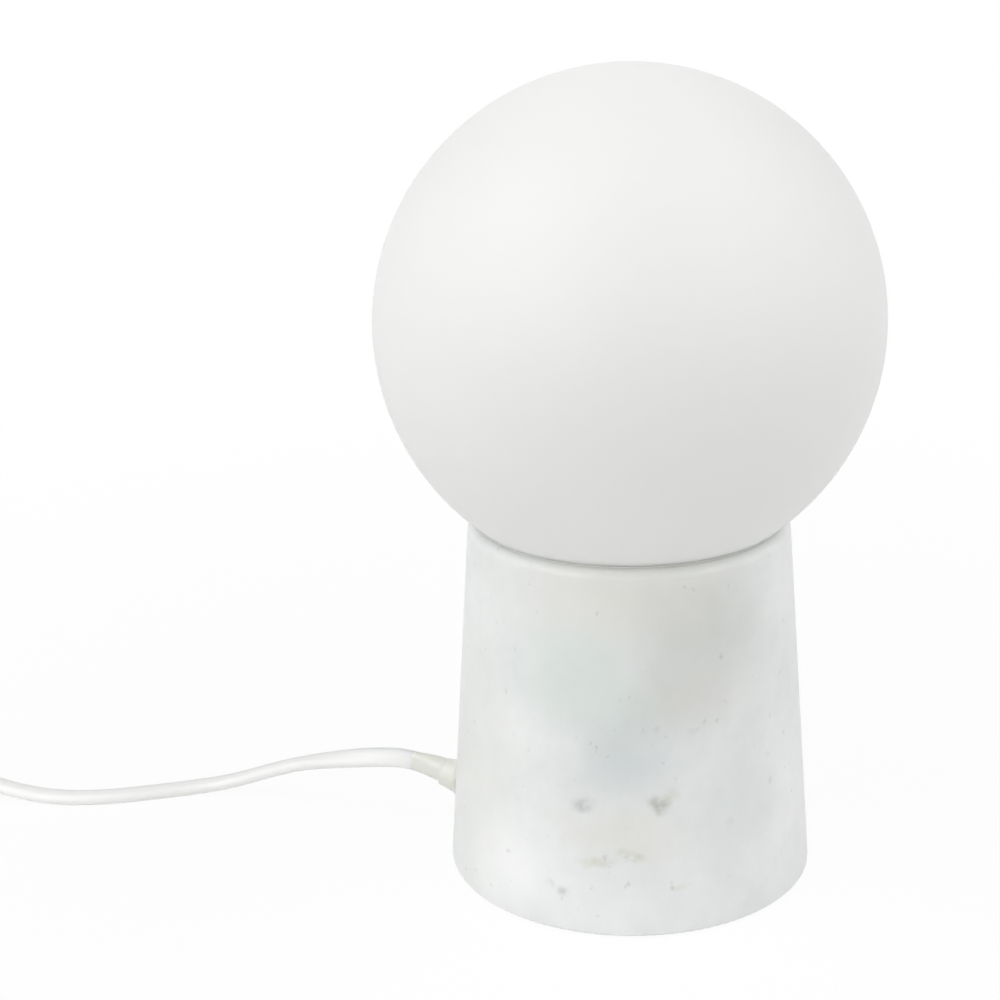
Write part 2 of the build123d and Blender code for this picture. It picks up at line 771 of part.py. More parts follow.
def print_least_gap(path):
    """Least gap between stretches of the coil that are over a third of a turn apart."""
    count = int(path.length / sample_step)
    points = [path @ (i / count) for i in range(count + 1)]
    apart = int(coil_radius * 2 / sample_step)
    pairs = ((i, j) for i in range(count + 1) for j in range(i + apart, count + 1))
    least = min((points[i] - points[j]).length for i, j in pairs)
    print(f"coil: length {path.length:.1f}, least gap to itself {least - cord_diameter:.2f}")


def make_coil():
    path = coil_path()
    print_least_gap(path)
    solid = sweep(Plane(origin=path @ 0, z_dir=path % 0) * Circle(cord_radius), path)
    print(f"coil: volume {solid.volume / (pi * cord_radius**2 * path.length):.4f} of section times length")
    return solid, path.length


def make_cord_tie():
    """Twist tie round the three turns of both layers, at the back of the coil."""
    # the tie crosses where the path steps inwards, half a pitch off its place at the side
    innermost = coil_y + coil_radius - coil_pitch * (coil_turns - 0.5)
    outermost = coil_y + coil_radius - coil_pitch * 0.5
    inner_y, outer_y = innermost - cord_radius - tie_side_clearance, outermost + cord_radius + tie_clearance
    low, high = coil_low - cord_radius - tie_clearance, coil_high + cord_radius + tie_clearance
    width, height = outer_y - inner_y, high - low
    middle = (inner_y + outer_y) / 2
    place = Plane(origin=(coil_x, middle, (low + high) / 2), x_dir=(0, 1, 0), z_dir=(1, 0, 0))
    corner = cord_radius + tie_thickness
    ring = RectangleRounded(width + 2 * tie_thickness, height + 2 * tie_thickness, corner)
    ring -= RectangleRounded(width, height, cord_radius)
    band = extrude(place * ring, tie_width / 2, both=True)
    tail_height = high + tie_thickness * 2
    return band + Pos(coil_x, middle, tail_height) * Rot(0, 0, tie_tail_turn) * Box(*tie_tail)


def switch_block(length, width, corner, low, high):
    return Pos(switch_x, switch_y, low) * extrude(RectangleRounded(length, width, corner), high - low)


def switch_screw_places():
    return [Pos(switch_x + side * switch_screw_spacing / 2, switch_y, 0) for side in (-1, 1)]


def switch_cavity(low, high):
    length, width = switch_length - 2 * switch_end, switch_width - 2 * switch_wall
    return switch_block(length, width, cavity_corner, low, high)


def make_switch_lower():
    shell = switch_block(switch_length, switch_width, switch_corner, 0, switch_split)
    shell = chamfer(shell.edges().group_by(Axis.Z)[0], switch_foot_edge)
    shell -= switch_cavity(switch_wall, switch_split)
    for place in switch_screw_places():
        shell += place * rod(boss_radius, switch_wall - fused, switch_split)
        shell -= place * rod(switch_screw_diameter / 2 + switch_screw_hole_gap, -past, switch_split + past)
        shell -= place * rod(switch_head_radius + switch_head_gap, -past, switch_head_top)
    return shell


def make_switch_upper():
    shell = switch_block(switch_length, switch_width, switch_corner, switch_split, switch_height)
    shell = fillet(shell.edges().group_by(Axis.Z)[-1], switch_top_round)
    ceiling = switch_height - switch_wall
    shell -= switch_cavity(switch_split, ceiling)
    thread = rod(switch_screw_diameter / 2 + switch_thread_gap, switch_split - past,
                 switch_split + switch_thread_depth)
    for place in switch_screw_places():
        shell += place * rod(upper_boss_radius, switch_split, ceiling + fused)
        shell -= place * thread
    inner = rocker_width / 2 + rocker_gap
    window = Box(rocker_length + 2 * rocker_window_gap, 2 * inner, 2 * rocker_window_depth)
    shell -= Pos(switch_x, switch_y, switch_height) * window
    _, ear_width, ear_height = rocker_ear
    for side in (-1, 1):
        ear = Pos(0, side * (inner + ear_width / 2), ceiling + fused - ear_height / 2) * Box(*rocker_ear)
        shell += Pos(switch_x, switch_y, 0) * ear
    reach = inner + rocker_pin_ends + rocker_pin_end_gap
    bore = Cylinder(rocker_pin_diameter / 2 + rocker_pin_gap, 2 * reach)
    return shell - Pos(switch_x, switch_y, rocker_axis) * Rot(90, 0, 0) * bore


def make_switch_screws():
    shank, top = switch_screw_diameter / 2, switch_split + switch_screw_depth
    screw = turned([(0, switch_head_sunk), (switch_head_radius, switch_head_sunk),
                    (switch_head_radius, switch_head_top), (shank, switch_head_top), (shank, top), (0, top)])
    return [place * screw for place in switch_screw_places()]


def make_rocker():
    """Rocker at rest, tilted to its off side about its pin."""
    half = rocker_length / 2
    middle = rocker_depth + rocker_proud
    end = middle + half * tan(radians(rocker_tilt))
    outline = Polyline((-half + rocker_cut, -rocker_under), (half - rocker_cut, -rocker_under),
                       (half, rocker_shoulder), (half, end), (0, middle), (-half, end),
                       (-half, rocker_shoulder), close=True)
    rocker = extrude(make_face(Plane.XZ * outline), rocker_width / 2, both=True)
    rocker -= Rot(90, 0, 0) * Cylinder(rocker_pin_diameter / 2 + rocker_bore_gap, rocker_width + past)
    return Pos(switch_x, switch_y, rocker_axis) * Rot(0, rocker_tilt, 0) * rocker


def make_rocker_pin():
    length = rocker_width + 2 * (rocker_gap + rocker_pin_ends)
    return Pos(switch_x, switch_y, rocker_axis) * Rot(90, 0, 0) * Cylinder(rocker_pin_diameter / 2, length)


def make_switch_contacts():
    """Two brass strips on the floor of the lower shell, each with a terminal and a contact tab."""
    length, width, thickness = contact_strip
    terminal_place, terminal_height = contact_terminal
    fork_place, fork_height = contact_fork
    strips = []
    for side in (-1, 1):
        strip = Pos(side * contact_offset, 0, thickness / 2) * Box(length, width, thickness)
        strip += Pos(side * terminal_place, 0, terminal_height / 2) * Box(thickness, width, terminal_height)
        strip += Pos(-side * fork_place, 0, fork_height / 2) * Box(thickness, width, fork_height)
        strips.append(Pos(switch_x, switch_y + side * contact_side, switch_wall) * strip)
    return strips


def along_plug(shape):
    """Turn a shape made along Z onto the plug's axis, Z = 0 where the cord enters."""
    return Plane(origin=(plug_x, plug_y, pin_height), x_dir=(0, 1, 0), z_dir=(1, 0, 0)).location * shape


def pin_places():
    return [Pos(side * pin_spacing / 2, 0, 0) for side in (-1, 1)]


def make_plug_body():
    rear = plug_grommet_length
    back = Pos(0, 0, rear) * RectangleRounded(*plug_back)
    waist = Pos(0, 0, rear + plug_length * plug_waist_place) * RectangleRounded(*plug_waist)
    face = Pos(0, 0, plug_front) * RectangleRounded(plug_width, plug_thickness, plug_face_corner)
    body = loft([back, waist, face])
    root = rear + 2 * past
    body += turned([(0, 0), (cord_radius + grommet_wall, 0), (grommet_radius, rear), (grommet_radius, root),
                    (0, root)])
    for step in range(grommet_rib_count):
        start = grommet_rib_start + step * grommet_rib_pitch
        body -= tube(grommet_slot_radius, cord_radius + grommet_core_wall, start, start + grommet_slot)
    for place in pin_places():
        body -= place * rod(pin_core_diameter / 2 + pin_fit_gap, plug_front - pin_root, plug_front + past)
    return along_plug(body)


def make_plug_pins():
    core, tip = pin_core_diameter / 2, pin_diameter / 2
    bare, end = plug_front + sleeve_length, plug_front + pin_length
    pin = turned([(0, plug_front - pin_root), (core, plug_front - pin_root), (core, bare), (tip, bare),
                  (tip, end - pin_edge), (tip - pin_edge, end), (0, end)])
    return [along_plug(place * pin) for place in pin_places()]


def make_pin_sleeves():
    bore = pin_core_diameter / 2 + pin_fit_gap
    sleeve = tube(sleeve_diameter / 2, bore, plug_front, plug_front + sleeve_length)
    return [along_plug(place * sleeve) for place in pin_places()]


def main():
    coil_start = Vector(coil_x - coil_radius, coil_y + cord_diameter, coil_low)
    coil_end = Vector(coil_x - coil_radius, coil_y - cord_diameter, coil_high)
    switch_right = Vector(switch_x + switch_length / 2, switch_y, switch_split)
    switch_left = Vector(switch_x - switch_length / 2, switch_y, switch_split)
    plug_end = Vector(plug_x, plug_y, pin_height)
    ahead, left = Vector(0, coil_run, 0), Vector(-switch_run, 0, 0)
    from_bush = bush_end + tail_direction * bush_straight
    lamp_points = [bush_end, from_bush, *lamp_route, switch_right - left, switch_right]
    coil_points = [switch_left, switch_left + left, *coil_route, coil_start + ahead, coil_start]
    plug_points = [coil_end, coil_end - ahead, *plug_route, plug_end + left, plug_end]
    cord_lamp, lamp_length = cord_tube("cord_to_switch", lamp_points)
    cord_run, run_length = cord_tube("cord_to_coil", coil_points)
    cord_tail, tail_length = cord_tube("cord_to_plug", plug_points)
    cord_coil, coil_length = make_coil()
    free = lamp_length + run_length + coil_length + tail_length
    inside = stone_at_exit + bush_reach - lead_end
    print(f"free cord {free:.0f}, with the lead inside the stone {free + inside:.0f}")
    pieces = {
        "stone_base": make_stone(),
        "foot_pad": make_foot_pad(),
        "base_cover": make_base_cover(),
        "cover_screws": make_cover_screws(),
        "cover_inserts": make_cover_inserts(),
        "seat_ring": make_seat_ring(),
        "glass_globe": make_globe(),
        "stem_tube": make_stem(),
        "stem_nut_lower": make_lower_nut(),
        "stem_washer_lower": make_lower_washer(),
        "carrier_plate": make_carrier_plate(),
        "stem_washer_upper": make_upper_washer(),
        "stem_nut_upper": make_upper_nut(),
        "lampholder_dome": make_dome(),
        "lampholder_lock_screw": make_lock_screw(),
        "lampholder_skirt": make_skirt(),
        "lampholder_core": make_core(),
        "terminal_screws": make_terminal_screws(),
        "socket_shell": make_socket_shell(),
        "centre_contact": make_centre_contact(),
        "bulb_glass": make_bulb_glass(),
        "bulb_stem": make_bulb_stem(),
        "bulb_filaments": make_filaments(),
        "bulb_filament_wires": make_filament_wires(),
        "bulb_cap": make_cap(),
        "bulb_cap_insulator": make_cap_insulator(),
        "bulb_cap_contact": make_cap_contact(),
        "cord_bush": make_bush(),
        "inner_lead": make_inner_lead(),
        "clamp_bar": make_clamp_bar(),
        "clamp_screws": make_clamp_screws(),
        "wire_live": make_wire(1),
        "wire_neutral": make_wire(-1),
        "cord_to_switch": cord_lamp,
        "cord_to_coil": cord_run,
        "cord_coil": cord_coil,
        "cord_to_plug": cord_tail,
        "cord_tie": make_cord_tie(),
        "switch_lower_shell": make_switch_lower(),
        "switch_upper_shell": make_switch_upper(),
        "switch_screws": make_switch_screws(),
        "switch_rocker": make_rocker(),
        "switch_rocker_pin": make_rocker_pin(),
        "switch_contacts": make_switch_contacts(),
        "plug_body": make_plug_body(),
        "plug_pins": make_plug_pins(),
        "plug_pin_sleeves": make_pin_sleeves(),
    }
    os.makedirs("parts", exist_ok=True)
    for name, piece in pieces.items():
        solids = Compound(piece) if isinstance(piece, list) else piece
        export_step(solids, f"parts/{name}.step")


main()
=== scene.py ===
import bmesh
import bpy
import json
import math
from mathutils import Matrix, Vector


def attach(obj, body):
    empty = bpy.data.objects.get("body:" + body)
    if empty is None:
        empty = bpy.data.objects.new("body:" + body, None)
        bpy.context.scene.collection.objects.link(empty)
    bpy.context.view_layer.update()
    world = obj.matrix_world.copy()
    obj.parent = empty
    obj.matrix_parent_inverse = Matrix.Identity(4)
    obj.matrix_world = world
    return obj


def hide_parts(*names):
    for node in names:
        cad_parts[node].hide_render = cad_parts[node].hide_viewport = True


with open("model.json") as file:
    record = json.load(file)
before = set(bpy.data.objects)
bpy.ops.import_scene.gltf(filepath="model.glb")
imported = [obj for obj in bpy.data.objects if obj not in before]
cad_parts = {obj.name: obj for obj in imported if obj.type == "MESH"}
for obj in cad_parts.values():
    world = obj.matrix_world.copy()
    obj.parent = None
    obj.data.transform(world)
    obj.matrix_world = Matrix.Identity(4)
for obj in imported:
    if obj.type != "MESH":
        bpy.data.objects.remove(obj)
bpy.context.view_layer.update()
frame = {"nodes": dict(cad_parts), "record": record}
scene = bpy.context.scene
nodes = frame["nodes"]
record = frame["record"]
nodeSlots = {entry["node"]: entry["material_slot"] for entry in record["subparts"]}
nodeBodies = {node: body for body, members in record["behaviour"]["bodies"].items() for node in members}
print("frame loaded:", len(nodes), "CAD nodes")


# sRGB hex to the linear colour that the shaders take
def colour(hexValue):
    channels = [int(hexValue[i:i + 2], 16) / 255 for i in (1, 3, 5)]
    return [c / 12.92 if c < 0.04045 else ((c + 0.055) / 1.055) ** 2.4 for c in channels] + [1.0]


# one node, with its settings and what comes into it. A key is a property, or an input's name or number. What
# comes in is another node, by its first output, or one output of a node, or else a plain value
def addNode(tree, kind, settings=None, links=None):
    node = tree.nodes.new(kind)
    for key, value in (settings or {}).items():
        if isinstance(key, str) and hasattr(node, key):
            setattr(node, key, value)
        else:
            node.inputs[key].default_value = value
    for key, source in (links or {}).items():
        if isinstance(source, bpy.types.Node):
            source = source.outputs[0]
        if isinstance(source, bpy.types.NodeSocket):
            tree.links.new(source, node.inputs[key])
        else:
            node.inputs[key].default_value = source
    return node


# what an object's modifiers, or a curve, come to, as a plain mesh. The object itself goes
def plainMesh(holder):
    scene.collection.objects.link(holder)
    bpy.context.view_layer.update()
    mesh = bpy.data.meshes.new_from_object(holder.evaluated_get(bpy.context.evaluated_depsgraph_get()))
    holder.modifiers.clear()
    bpy.data.objects.remove(holder)
    return mesh


# smooth faces, with the edges over an angle in degrees kept sharp
def soften(mesh, sharpAngle):
    for polygon in mesh.polygons:
        polygon.use_smooth = True
    mesh.set_sharp_from_angle(angle=math.radians(sharpAngle))


# a finished piece: it rides on its body, stands for its CAD nodes and takes its slot's material
def addPiece(name, mesh, body, slot, replaced=()):
    piece = bpy.data.objects.new(name, mesh)
    scene.collection.objects.link(piece)
    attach(piece, body)
    if replaced:
        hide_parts(*replaced)
    mesh.materials.clear()
    mesh.materials.append(materials[slot])
    return piece


# camera at the photograph's place, in metres and degrees, with its focal length in pixels of the square frame
photoCamera = {"place": (-0.03873, -0.58806, 0.30931), "pitchDown": 18.030, "roll": -1.298,
               "focalPixels": 2051.1, "framePixels": 1000, "sensorMm": 36}


def makeCamera():
    pitch, roll = math.radians(photoCamera["pitchDown"]), math.radians(photoCamera["roll"])
    right, up = Vector((1, 0, 0)), Vector((0, math.sin(pitch), math.cos(pitch)))
    forward = Vector((0, math.cos(pitch), -math.sin(pitch)))
    xAxis = right * math.cos(roll) + up * math.sin(roll)
    yAxis = up * math.cos(roll) - right * math.sin(roll)
    data = bpy.data.cameras.new("camera")
    data.sensor_width = photoCamera["sensorMm"]
    data.lens = photoCamera["sensorMm"] * photoCamera["focalPixels"] / photoCamera["framePixels"]
    camera = bpy.data.objects.new("camera", data)
    turn = Matrix((xAxis, yAxis, -forward)).transposed().to_4x4()
    camera.matrix_world = Matrix.Translation(photoCamera["place"]) @ turn
    scene.collection.objects.link(camera)
    scene.camera = camera


makeCamera()
print("camera set")


def newMaterial(name):
    material = bpy.data.materials.new(name)
    material.use_nodes = True
    material.node_tree.nodes.clear()
    return material, material.node_tree


# the plainer finishes: hex colour, roughness, metal, and a fine pattern whose grain is in millimetres.
# shade is how much darker the pattern's dips are, and through is how much light passes
finishes = {
    "eva_foam": {"hex": "#DEDDD8", "rough": 0.85, "grain": 0.7, "shade": 0.05, "bump": 0.12},  # skived foam
    "white_moulding": {"hex": "#E8E8E4", "rough": 0.5, "grain": 0.35, "shade": 0.02, "bump": 0.05},  # ABS
    "zinc_plated_steel": {"hex": "#C3C6C9", "rough": 0.34, "metal": 1.0, "grain": 0.8, "shade": 0.10,
                          "bump": 0.02},  # zinc plate, slightly cloudy
    "brass": {"hex": "#C9A566", "rough": 0.28, "metal": 1.0, "grain": 0.5, "shade": 0.08, "bump": 0.02},
    "silicone": {"hex": "#F3F4F0", "rough": 0.4, "grain": 1.5, "shade": 0.02, "bump": 0.01,
                 "through": 0.1},  # milky silicone
    "white_steel": {"hex": "#ECECE9", "rough": 0.42, "grain": 0.9, "shade": 0.015,
                    "bump": 0.05},  # powder coat
    "holder_thermoplastic": {"hex": "#E6E6E1", "rough": 0.45, "grain": 0.4, "shade": 0.02, "bump": 0.04},
    "steatite": {"hex": "#DDD8CC", "rough": 0.7, "grain": 0.3, "shade": 0.05, "bump": 0.08},  # unglazed
    "nickel": {"hex": "#CFCBC2", "rough": 0.22, "metal": 1.0, "grain": 0.6, "shade": 0.05, "bump": 0.015},
    "clear_glass": {"hex": "#F6FAFA", "rough": 0.02, "grain": 6.0, "shade": 0.005, "bump": 0.004,
                    "through": 1.0},  # blown soda glass
    "filament_coating": {"hex": "#E8BE55", "rough": 0.55, "grain": 0.4, "shade": 0.10, "bump": 0.08},
    "vitrite": {"hex": "#17171A", "rough": 0.15, "grain": 1.0, "shade": 0.15, "bump": 0.03},  # black glass
    "solder": {"hex": "#A9AAA8", "rough": 0.38, "metal": 1.0, "grain": 0.5, "shade": 0.12, "bump": 0.08},
    "clear_pvc": {"hex": "#FDFEF6", "rough": 0.3, "grain": 1.2, "shade": 0.02, "bump": 0.02,
                  "through": 0.25},  # soft PVC, clear with a slight olive tint
    "wire_brown": {"hex": "#5A3620", "rough": 0.35, "grain": 1.5, "shade": 0.05, "bump": 0.01},
    "wire_blue": {"hex": "#2C5D99", "rough": 0.35, "grain": 1.5, "shade": 0.05, "bump": 0.01},
    "switch_moulding": {"hex": "#EDEDEB", "rough": 0.22, "grain": 3.0, "shade": 0.01, "bump": 0.01},  # ABS
    "plug_moulding": {"hex": "#ECECE9", "rough": 0.35, "grain": 0.8, "shade": 0.015,
                      "bump": 0.03},  # soft PVC
    "sleeve_nylon": {"hex": "#E5E5E1", "rough": 0.45, "grain": 0.6, "shade": 0.02, "bump": 0.03},
    "tie_paper": {"hex": "#EFEFEC", "rough": 0.75, "grain": 0.5, "shade": 0.04, "bump": 0.15},  # on a wire
}

# how every fine pattern is read: the noise's detail, and the values that give its darkest and lightest tone
finishPattern = {"detail": 3.0, "dark": 0.3, "light": 0.7}


# a slight unevenness of colour and surface at the material's own scale
def makeFinish(name):
    look = finishes[name]
    material, tree = newMaterial(name)
    place = addNode(tree, "ShaderNodeTexCoord")
    noise = addNode(tree, "ShaderNodeTexNoise",
                    {"Scale": 1000 / look["grain"], "Detail": finishPattern["detail"]},
                    {"Vector": place.outputs["Object"]})
    base = colour(look["hex"])
    ramp = addNode(tree, "ShaderNodeValToRGB", {}, {"Fac": noise.outputs["Fac"]})
    dark, light = ramp.color_ramp.elements
    dark.position, light.position = finishPattern["dark"], finishPattern["light"]
    dark.color = [c * (1 - look["shade"]) for c in base[:3]] + [1]
    light.color = base
    bump = addNode(tree, "ShaderNodeBump", {"Strength": look["bump"], "Distance": look["grain"] / 1000},
                   {"Height": noise.outputs["Fac"]})
    shader = addNode(tree, "ShaderNodeBsdfPrincipled",
                     {"Roughness": look["rough"], "Metallic": look.get("metal", 0.0),
                      "Transmission Weight": look.get("through", 0.0)},
                     {"Base Color": ramp.outputs["Color"], "Normal": bump.outputs["Normal"]})
    addNode(tree, "ShaderNodeOutputMaterial", {}, {"Surface": shader.outputs["BSDF"]})
    return material


# honed white marble: one soft mottling from broad clouds down to the grain, with broad stains, smudges and
# flecks at their places on the stone, a broad patch of painted light on its lower left, and no veins. Spans
# are the noise values where a pattern starts and is full, and an upright under 1 draws the pattern out along
# Z
marble = {"light": "#F1F2F1", "grey": "#DADDDC", "rough": 0.42, "ior": 1.49, "cloudSpan": (0.22, 0.78),
          "upright": 0.85, "mottleSpan": (0.20, 0.70), "speckHex": "#A9ABA6", "speckSpan": (0.665, 0.76),
          "speckMost": 0.30, "scatter": 0.45, "scatterMm": 4.0, "scatterTint": (1.0, 1.0, 0.95),
          "bump": 0.08, "bumpMm": 0.2, "shiftAlong": (1.0, 0.7, -1.0)}

# its noises: size in mm, shift that keeps them apart, detail, and how strong each finer scale is
marbleNoises = {"clouds": (46, 0.23, 7.0, 0.69), "broad": (20, 0.41, 3.0, 0.5), "fine": (4.5, 0.41, 3.0, 0.5),
                "mottle": (2.6, 0.59, 2.0, 0.5), "specks": (3.2, 0.77, 2.5, 0.6),
                "grain": (0.8, 0.0, 2.0, 0.5)}

# how far in mm the broad and fine noises push the outlines of the marks, so that none is round. A mark with a
# half size over broadFrom counts as broad, and the broad noise alone pushes it. Steady is the share of its
# own place that any other mark keeps
marblePush = {"broad": 9.0, "fine": 2.6, "broadFrom": 9, "steady": 0.55}

# stains, marks and one patch of painted light as the photograph shows them: colour, place, half sizes in mm,
# strength
marbleMarks = [("#BBBDB6", (17, -47, 92), (29.8, 31.2, 35.5), 0.41),
               ("#C8D6CD", (-20, -48, 78), (26, 28.4, 26), 0.38),
               ("#E0DED6", (-8, -45, 104), (50, 44, 24), 0.50),
               ("#D3D8D9", (27, -44, 38), (24, 26, 28), 0.34),
               ("#C6D2CC", (-3, -52, 71), (18.5, 22.7, 15.6), 0.29),
               ("#C6C3BA", (14, -49, 73), (24.1, 28.4, 15.6), 0.26),
               ("#C0C8CA", (-2, -53, 56), (27, 25.6, 21), 0.42),
               ("#E3DFD3", (-6, -54, 33), (27, 25.6, 9.9), 0.32),
               ("#E7E7DC", (-45, -20, 40), (19.9, 34.1, 62.5), 0.29),
               ("#E9ECEE", (-8, -54, 13), (36.9, 34.1, 17), 0.26),
               # painted light: a broad pale patch on the stone's lower left, where the side lamps and the
               # floor's bounce light it
               ("#FCFDFC", (-38, -40, 14), (30, 30, 26), 0.70),
               ("#8C9180", (5.6, -53.2, 41.3), (4.6, 5, 3.6), 0.61),
               ("#B9B896", (8.8, -52.8, 44.0), (3.2, 4, 3), 0.40),
               ("#BDBA94", (-13.2, -53.2, 23.8), (7.5, 6, 2.7), 0.50),
               ("#ABAB85", (-3.9, -54.4, 26.6), (5.6, 5, 2.7), 0.52),
               ("#9DA1A3", (-16.7, -50.8, 41.7), (5, 5, 3.2), 0.50),
               ("#C9C5A9", (10, -54, 16), (3.6, 4, 1.8), 0.32),
               ("#9FA3A2", (-22.8, -50.6, 12.8), (3, 3, 2.1), 0.45),
               ("#A8ABA8", (-26.4, -49.1, 14.4), (2, 2.4, 2.1), 0.40),
               ("#8F938D", (23.7, -44.6, 83.7), (1.3, 1.6, 1.6), 0.54),
               ("#9EA19C", (6.3, -51.5, 65.1), (1.6, 1.8, 2), 0.40),
               ("#A6A9A4", (14.2, -50.0, 63.3), (2, 2, 1.6), 0.36),
               ("#9EA19C", (38.6, -36.3, 48.7), (1.5, 1.8, 1.9), 0.40),
               ("#A6A9A4", (39.4, -36.4, 39.6), (1.5, 1.8, 1.6), 0.36),
               ("#A3A6A1", (26.4, -47.3, 32.3), (1.7, 1.9, 1.9), 0.36)]


def makeMarble():
    material, tree = newMaterial("honed_marble")
    place = addNode(tree, "ShaderNodeTexCoord").outputs["Object"]

    def noise(name):
        size, shift, detail, falls = marbleNoises[name]
        moved = addNode(tree, "ShaderNodeMapping",
                        {"Location": [shift * along for along in marble["shiftAlong"]],
                         "Scale": (1.0, 1.0, marble["upright"])},
                        {"Vector": place})
        return addNode(tree, "ShaderNodeTexNoise",
                       {"Scale": 1000 / size, "Detail": detail, "Roughness": falls}, {"Vector": moved})

    # a place pushed about by one of the noises
    def pushed(start, name):
        centred = addNode(tree, "ShaderNodeVectorMath", {"operation": "SUBTRACT", 1: (0.5, 0.5, 0.5)},
                          {0: noise(name).outputs["Color"]})
        push = addNode(tree, "ShaderNodeVectorMath",
                       {"operation": "SCALE", "Scale": 2 * marblePush[name] / 1000}, {0: centred})
        return addNode(tree, "ShaderNodeVectorMath", {"operation": "ADD"}, {0: start, 1: push})

    # a colour laid over the tone so far, where a pattern goes from its value at start to its value at full
    def lay(under, hexValue, pattern, start, full, most, mottled=None):
        amount = addNode(tree, "ShaderNodeMapRange", {"interpolation_type": "SMOOTHSTEP"},
                         {"Value": pattern, "From Min": start, "From Max": full, "To Max": most})
        if mottled is not None:
            amount = addNode(tree, "ShaderNodeMath", {"operation": "MULTIPLY"}, {0: amount, 1: mottled})
        mix = addNode(tree, "ShaderNodeMix", {"data_type": "RGBA", 7: colour(hexValue)},
                      {0: amount, 6: under})
        return mix.outputs[2]

    # broad clouds to grain in one noise
    clouds = addNode(tree, "ShaderNodeValToRGB", {}, {"Fac": noise("clouds")})
    grey, light = clouds.color_ramp.elements
    grey.position, light.position = marble["cloudSpan"]
    grey.color, light.color = colour(marble["grey"]), colour(marble["light"])
    tone = clouds.outputs["Color"]

    # the marks, one over another, and the specks over them
    broadMarkPlace = pushed(place, "broad")
    markPlace = addNode(tree, "ShaderNodeMix", {"data_type": "VECTOR", 0: marblePush["steady"]},
                        {4: pushed(broadMarkPlace, "fine"), 5: place}).outputs[1]
    low, high = marble["mottleSpan"]
    mottle = addNode(tree, "ShaderNodeMapRange", {"interpolation_type": "SMOOTHSTEP"},
                     {"Value": noise("mottle"), "From Min": low, "From Max": high})
    for hexValue, spot, halfSizes, most in marbleMarks:
        broadMark = max(halfSizes) > marblePush["broadFrom"]
        away = addNode(tree, "ShaderNodeVectorMath", {"operation": "SUBTRACT", 1: [s / 1000 for s in spot]},
                       {0: broadMarkPlace if broadMark else markPlace})
        scaled = addNode(tree, "ShaderNodeVectorMath",
                         {"operation": "DIVIDE", 1: [s / 1000 for s in halfSizes]}, {0: away})
        length = addNode(tree, "ShaderNodeVectorMath", {"operation": "LENGTH"}, {0: scaled}).outputs["Value"]
        tone = lay(tone, hexValue, length, 1.0, 0.0, most, None if broadMark else mottle)
    tone = lay(tone, marble["speckHex"], noise("specks"), *marble["speckSpan"], marble["speckMost"])

    bump = addNode(tree, "ShaderNodeBump", {"Strength": marble["bump"], "Distance": marble["bumpMm"] / 1000},
                   {"Height": noise("grain")})
    shader = addNode(tree, "ShaderNodeBsdfPrincipled",
                     {"Roughness": marble["rough"], "IOR": marble["ior"],
                      "Subsurface Weight": marble["scatter"], "Subsurface Radius": marble["scatterTint"],
                      "Subsurface Scale": marble["scatterMm"] / 1000},
                     {"Base Color": tone, "Normal": bump})
    addNode(tree, "ShaderNodeOutputMaterial", {}, {"Surface": shader})
    return material


# opal glass, acid-etched: milky right through, with a soft sheen and no sharp highlight
opal = {"hex": "#EDEEEC", "rough": 0.55, "ior": 1.50, "cloudMm": 60, "cloudDetail": 1.0, "cloudShade": 0.015,
        "etchMm": 0.35, "bump": 0.02, "bumpMm": 0.1, "milk": 1.0, "milkMm": 3.0}


def makeOpal():
    material, tree = newMaterial("opal_glass")
    place = addNode(tree, "ShaderNodeTexCoord").outputs["Object"]
    base = colour(opal["hex"])
    cloud = addNode(tree, "ShaderNodeTexNoise",
                    {"Scale": 1000 / opal["cloudMm"], "Detail": opal["cloudDetail"]}, {"Vector": place})
    ramp = addNode(tree, "ShaderNodeValToRGB", {}, {"Fac": cloud.outputs["Fac"]})
    ramp.color_ramp.elements[0].color = [c * (1 - opal["cloudShade"]) for c in base[:3]] + [1]
    ramp.color_ramp.elements[1].color = base
    etch = addNode(tree, "ShaderNodeTexNoise", {"Scale": 1000 / opal["etchMm"]}, {"Vector": place})
    bump = addNode(tree, "ShaderNodeBump", {"Strength": opal["bump"], "Distance": opal["bumpMm"] / 1000},
                   {"Height": etch.outputs["Fac"]})
    shader = addNode(tree, "ShaderNodeBsdfPrincipled",
                     {"Roughness": opal["rough"], "IOR": opal["ior"], "Subsurface Weight": opal["milk"],
                      "Subsurface Radius": (1.0, 1.0, 1.0), "Subsurface Scale": opal["milkMm"] / 1000},
                     {"Base Color": ramp.outputs["Color"], "Normal": bump.outputs["Normal"]})
    addNode(tree, "ShaderNodeOutputMaterial", {}, {"Surface": shader.outputs["BSDF"]})
    return material


# cord: milky PVC pressed over two white cores, with painted shade across it: the skin is lightest through its
# middle and greyer towards both edges, most on the side that stands uppermost at the bush. stops: place
# across it, and colour
cordSkinAndShade = {"stops": [(0.00, "#E4E6E6"), (0.15, "#EAEBEB"), (0.36, "#F7F7F5"), (0.60, "#FBFBF8"),
                      (0.84, "#FBFBF8"), (1.00, "#F8F8F6")],
            "rough": 0.36, "ior": 1.53, "grainMm": 2.5, "bump": 0.015, "shadeMm": 22, "shadeDetail": 3.0,
            "shade": 0.02, "milk": 0.6, "milkMm": 1.5}


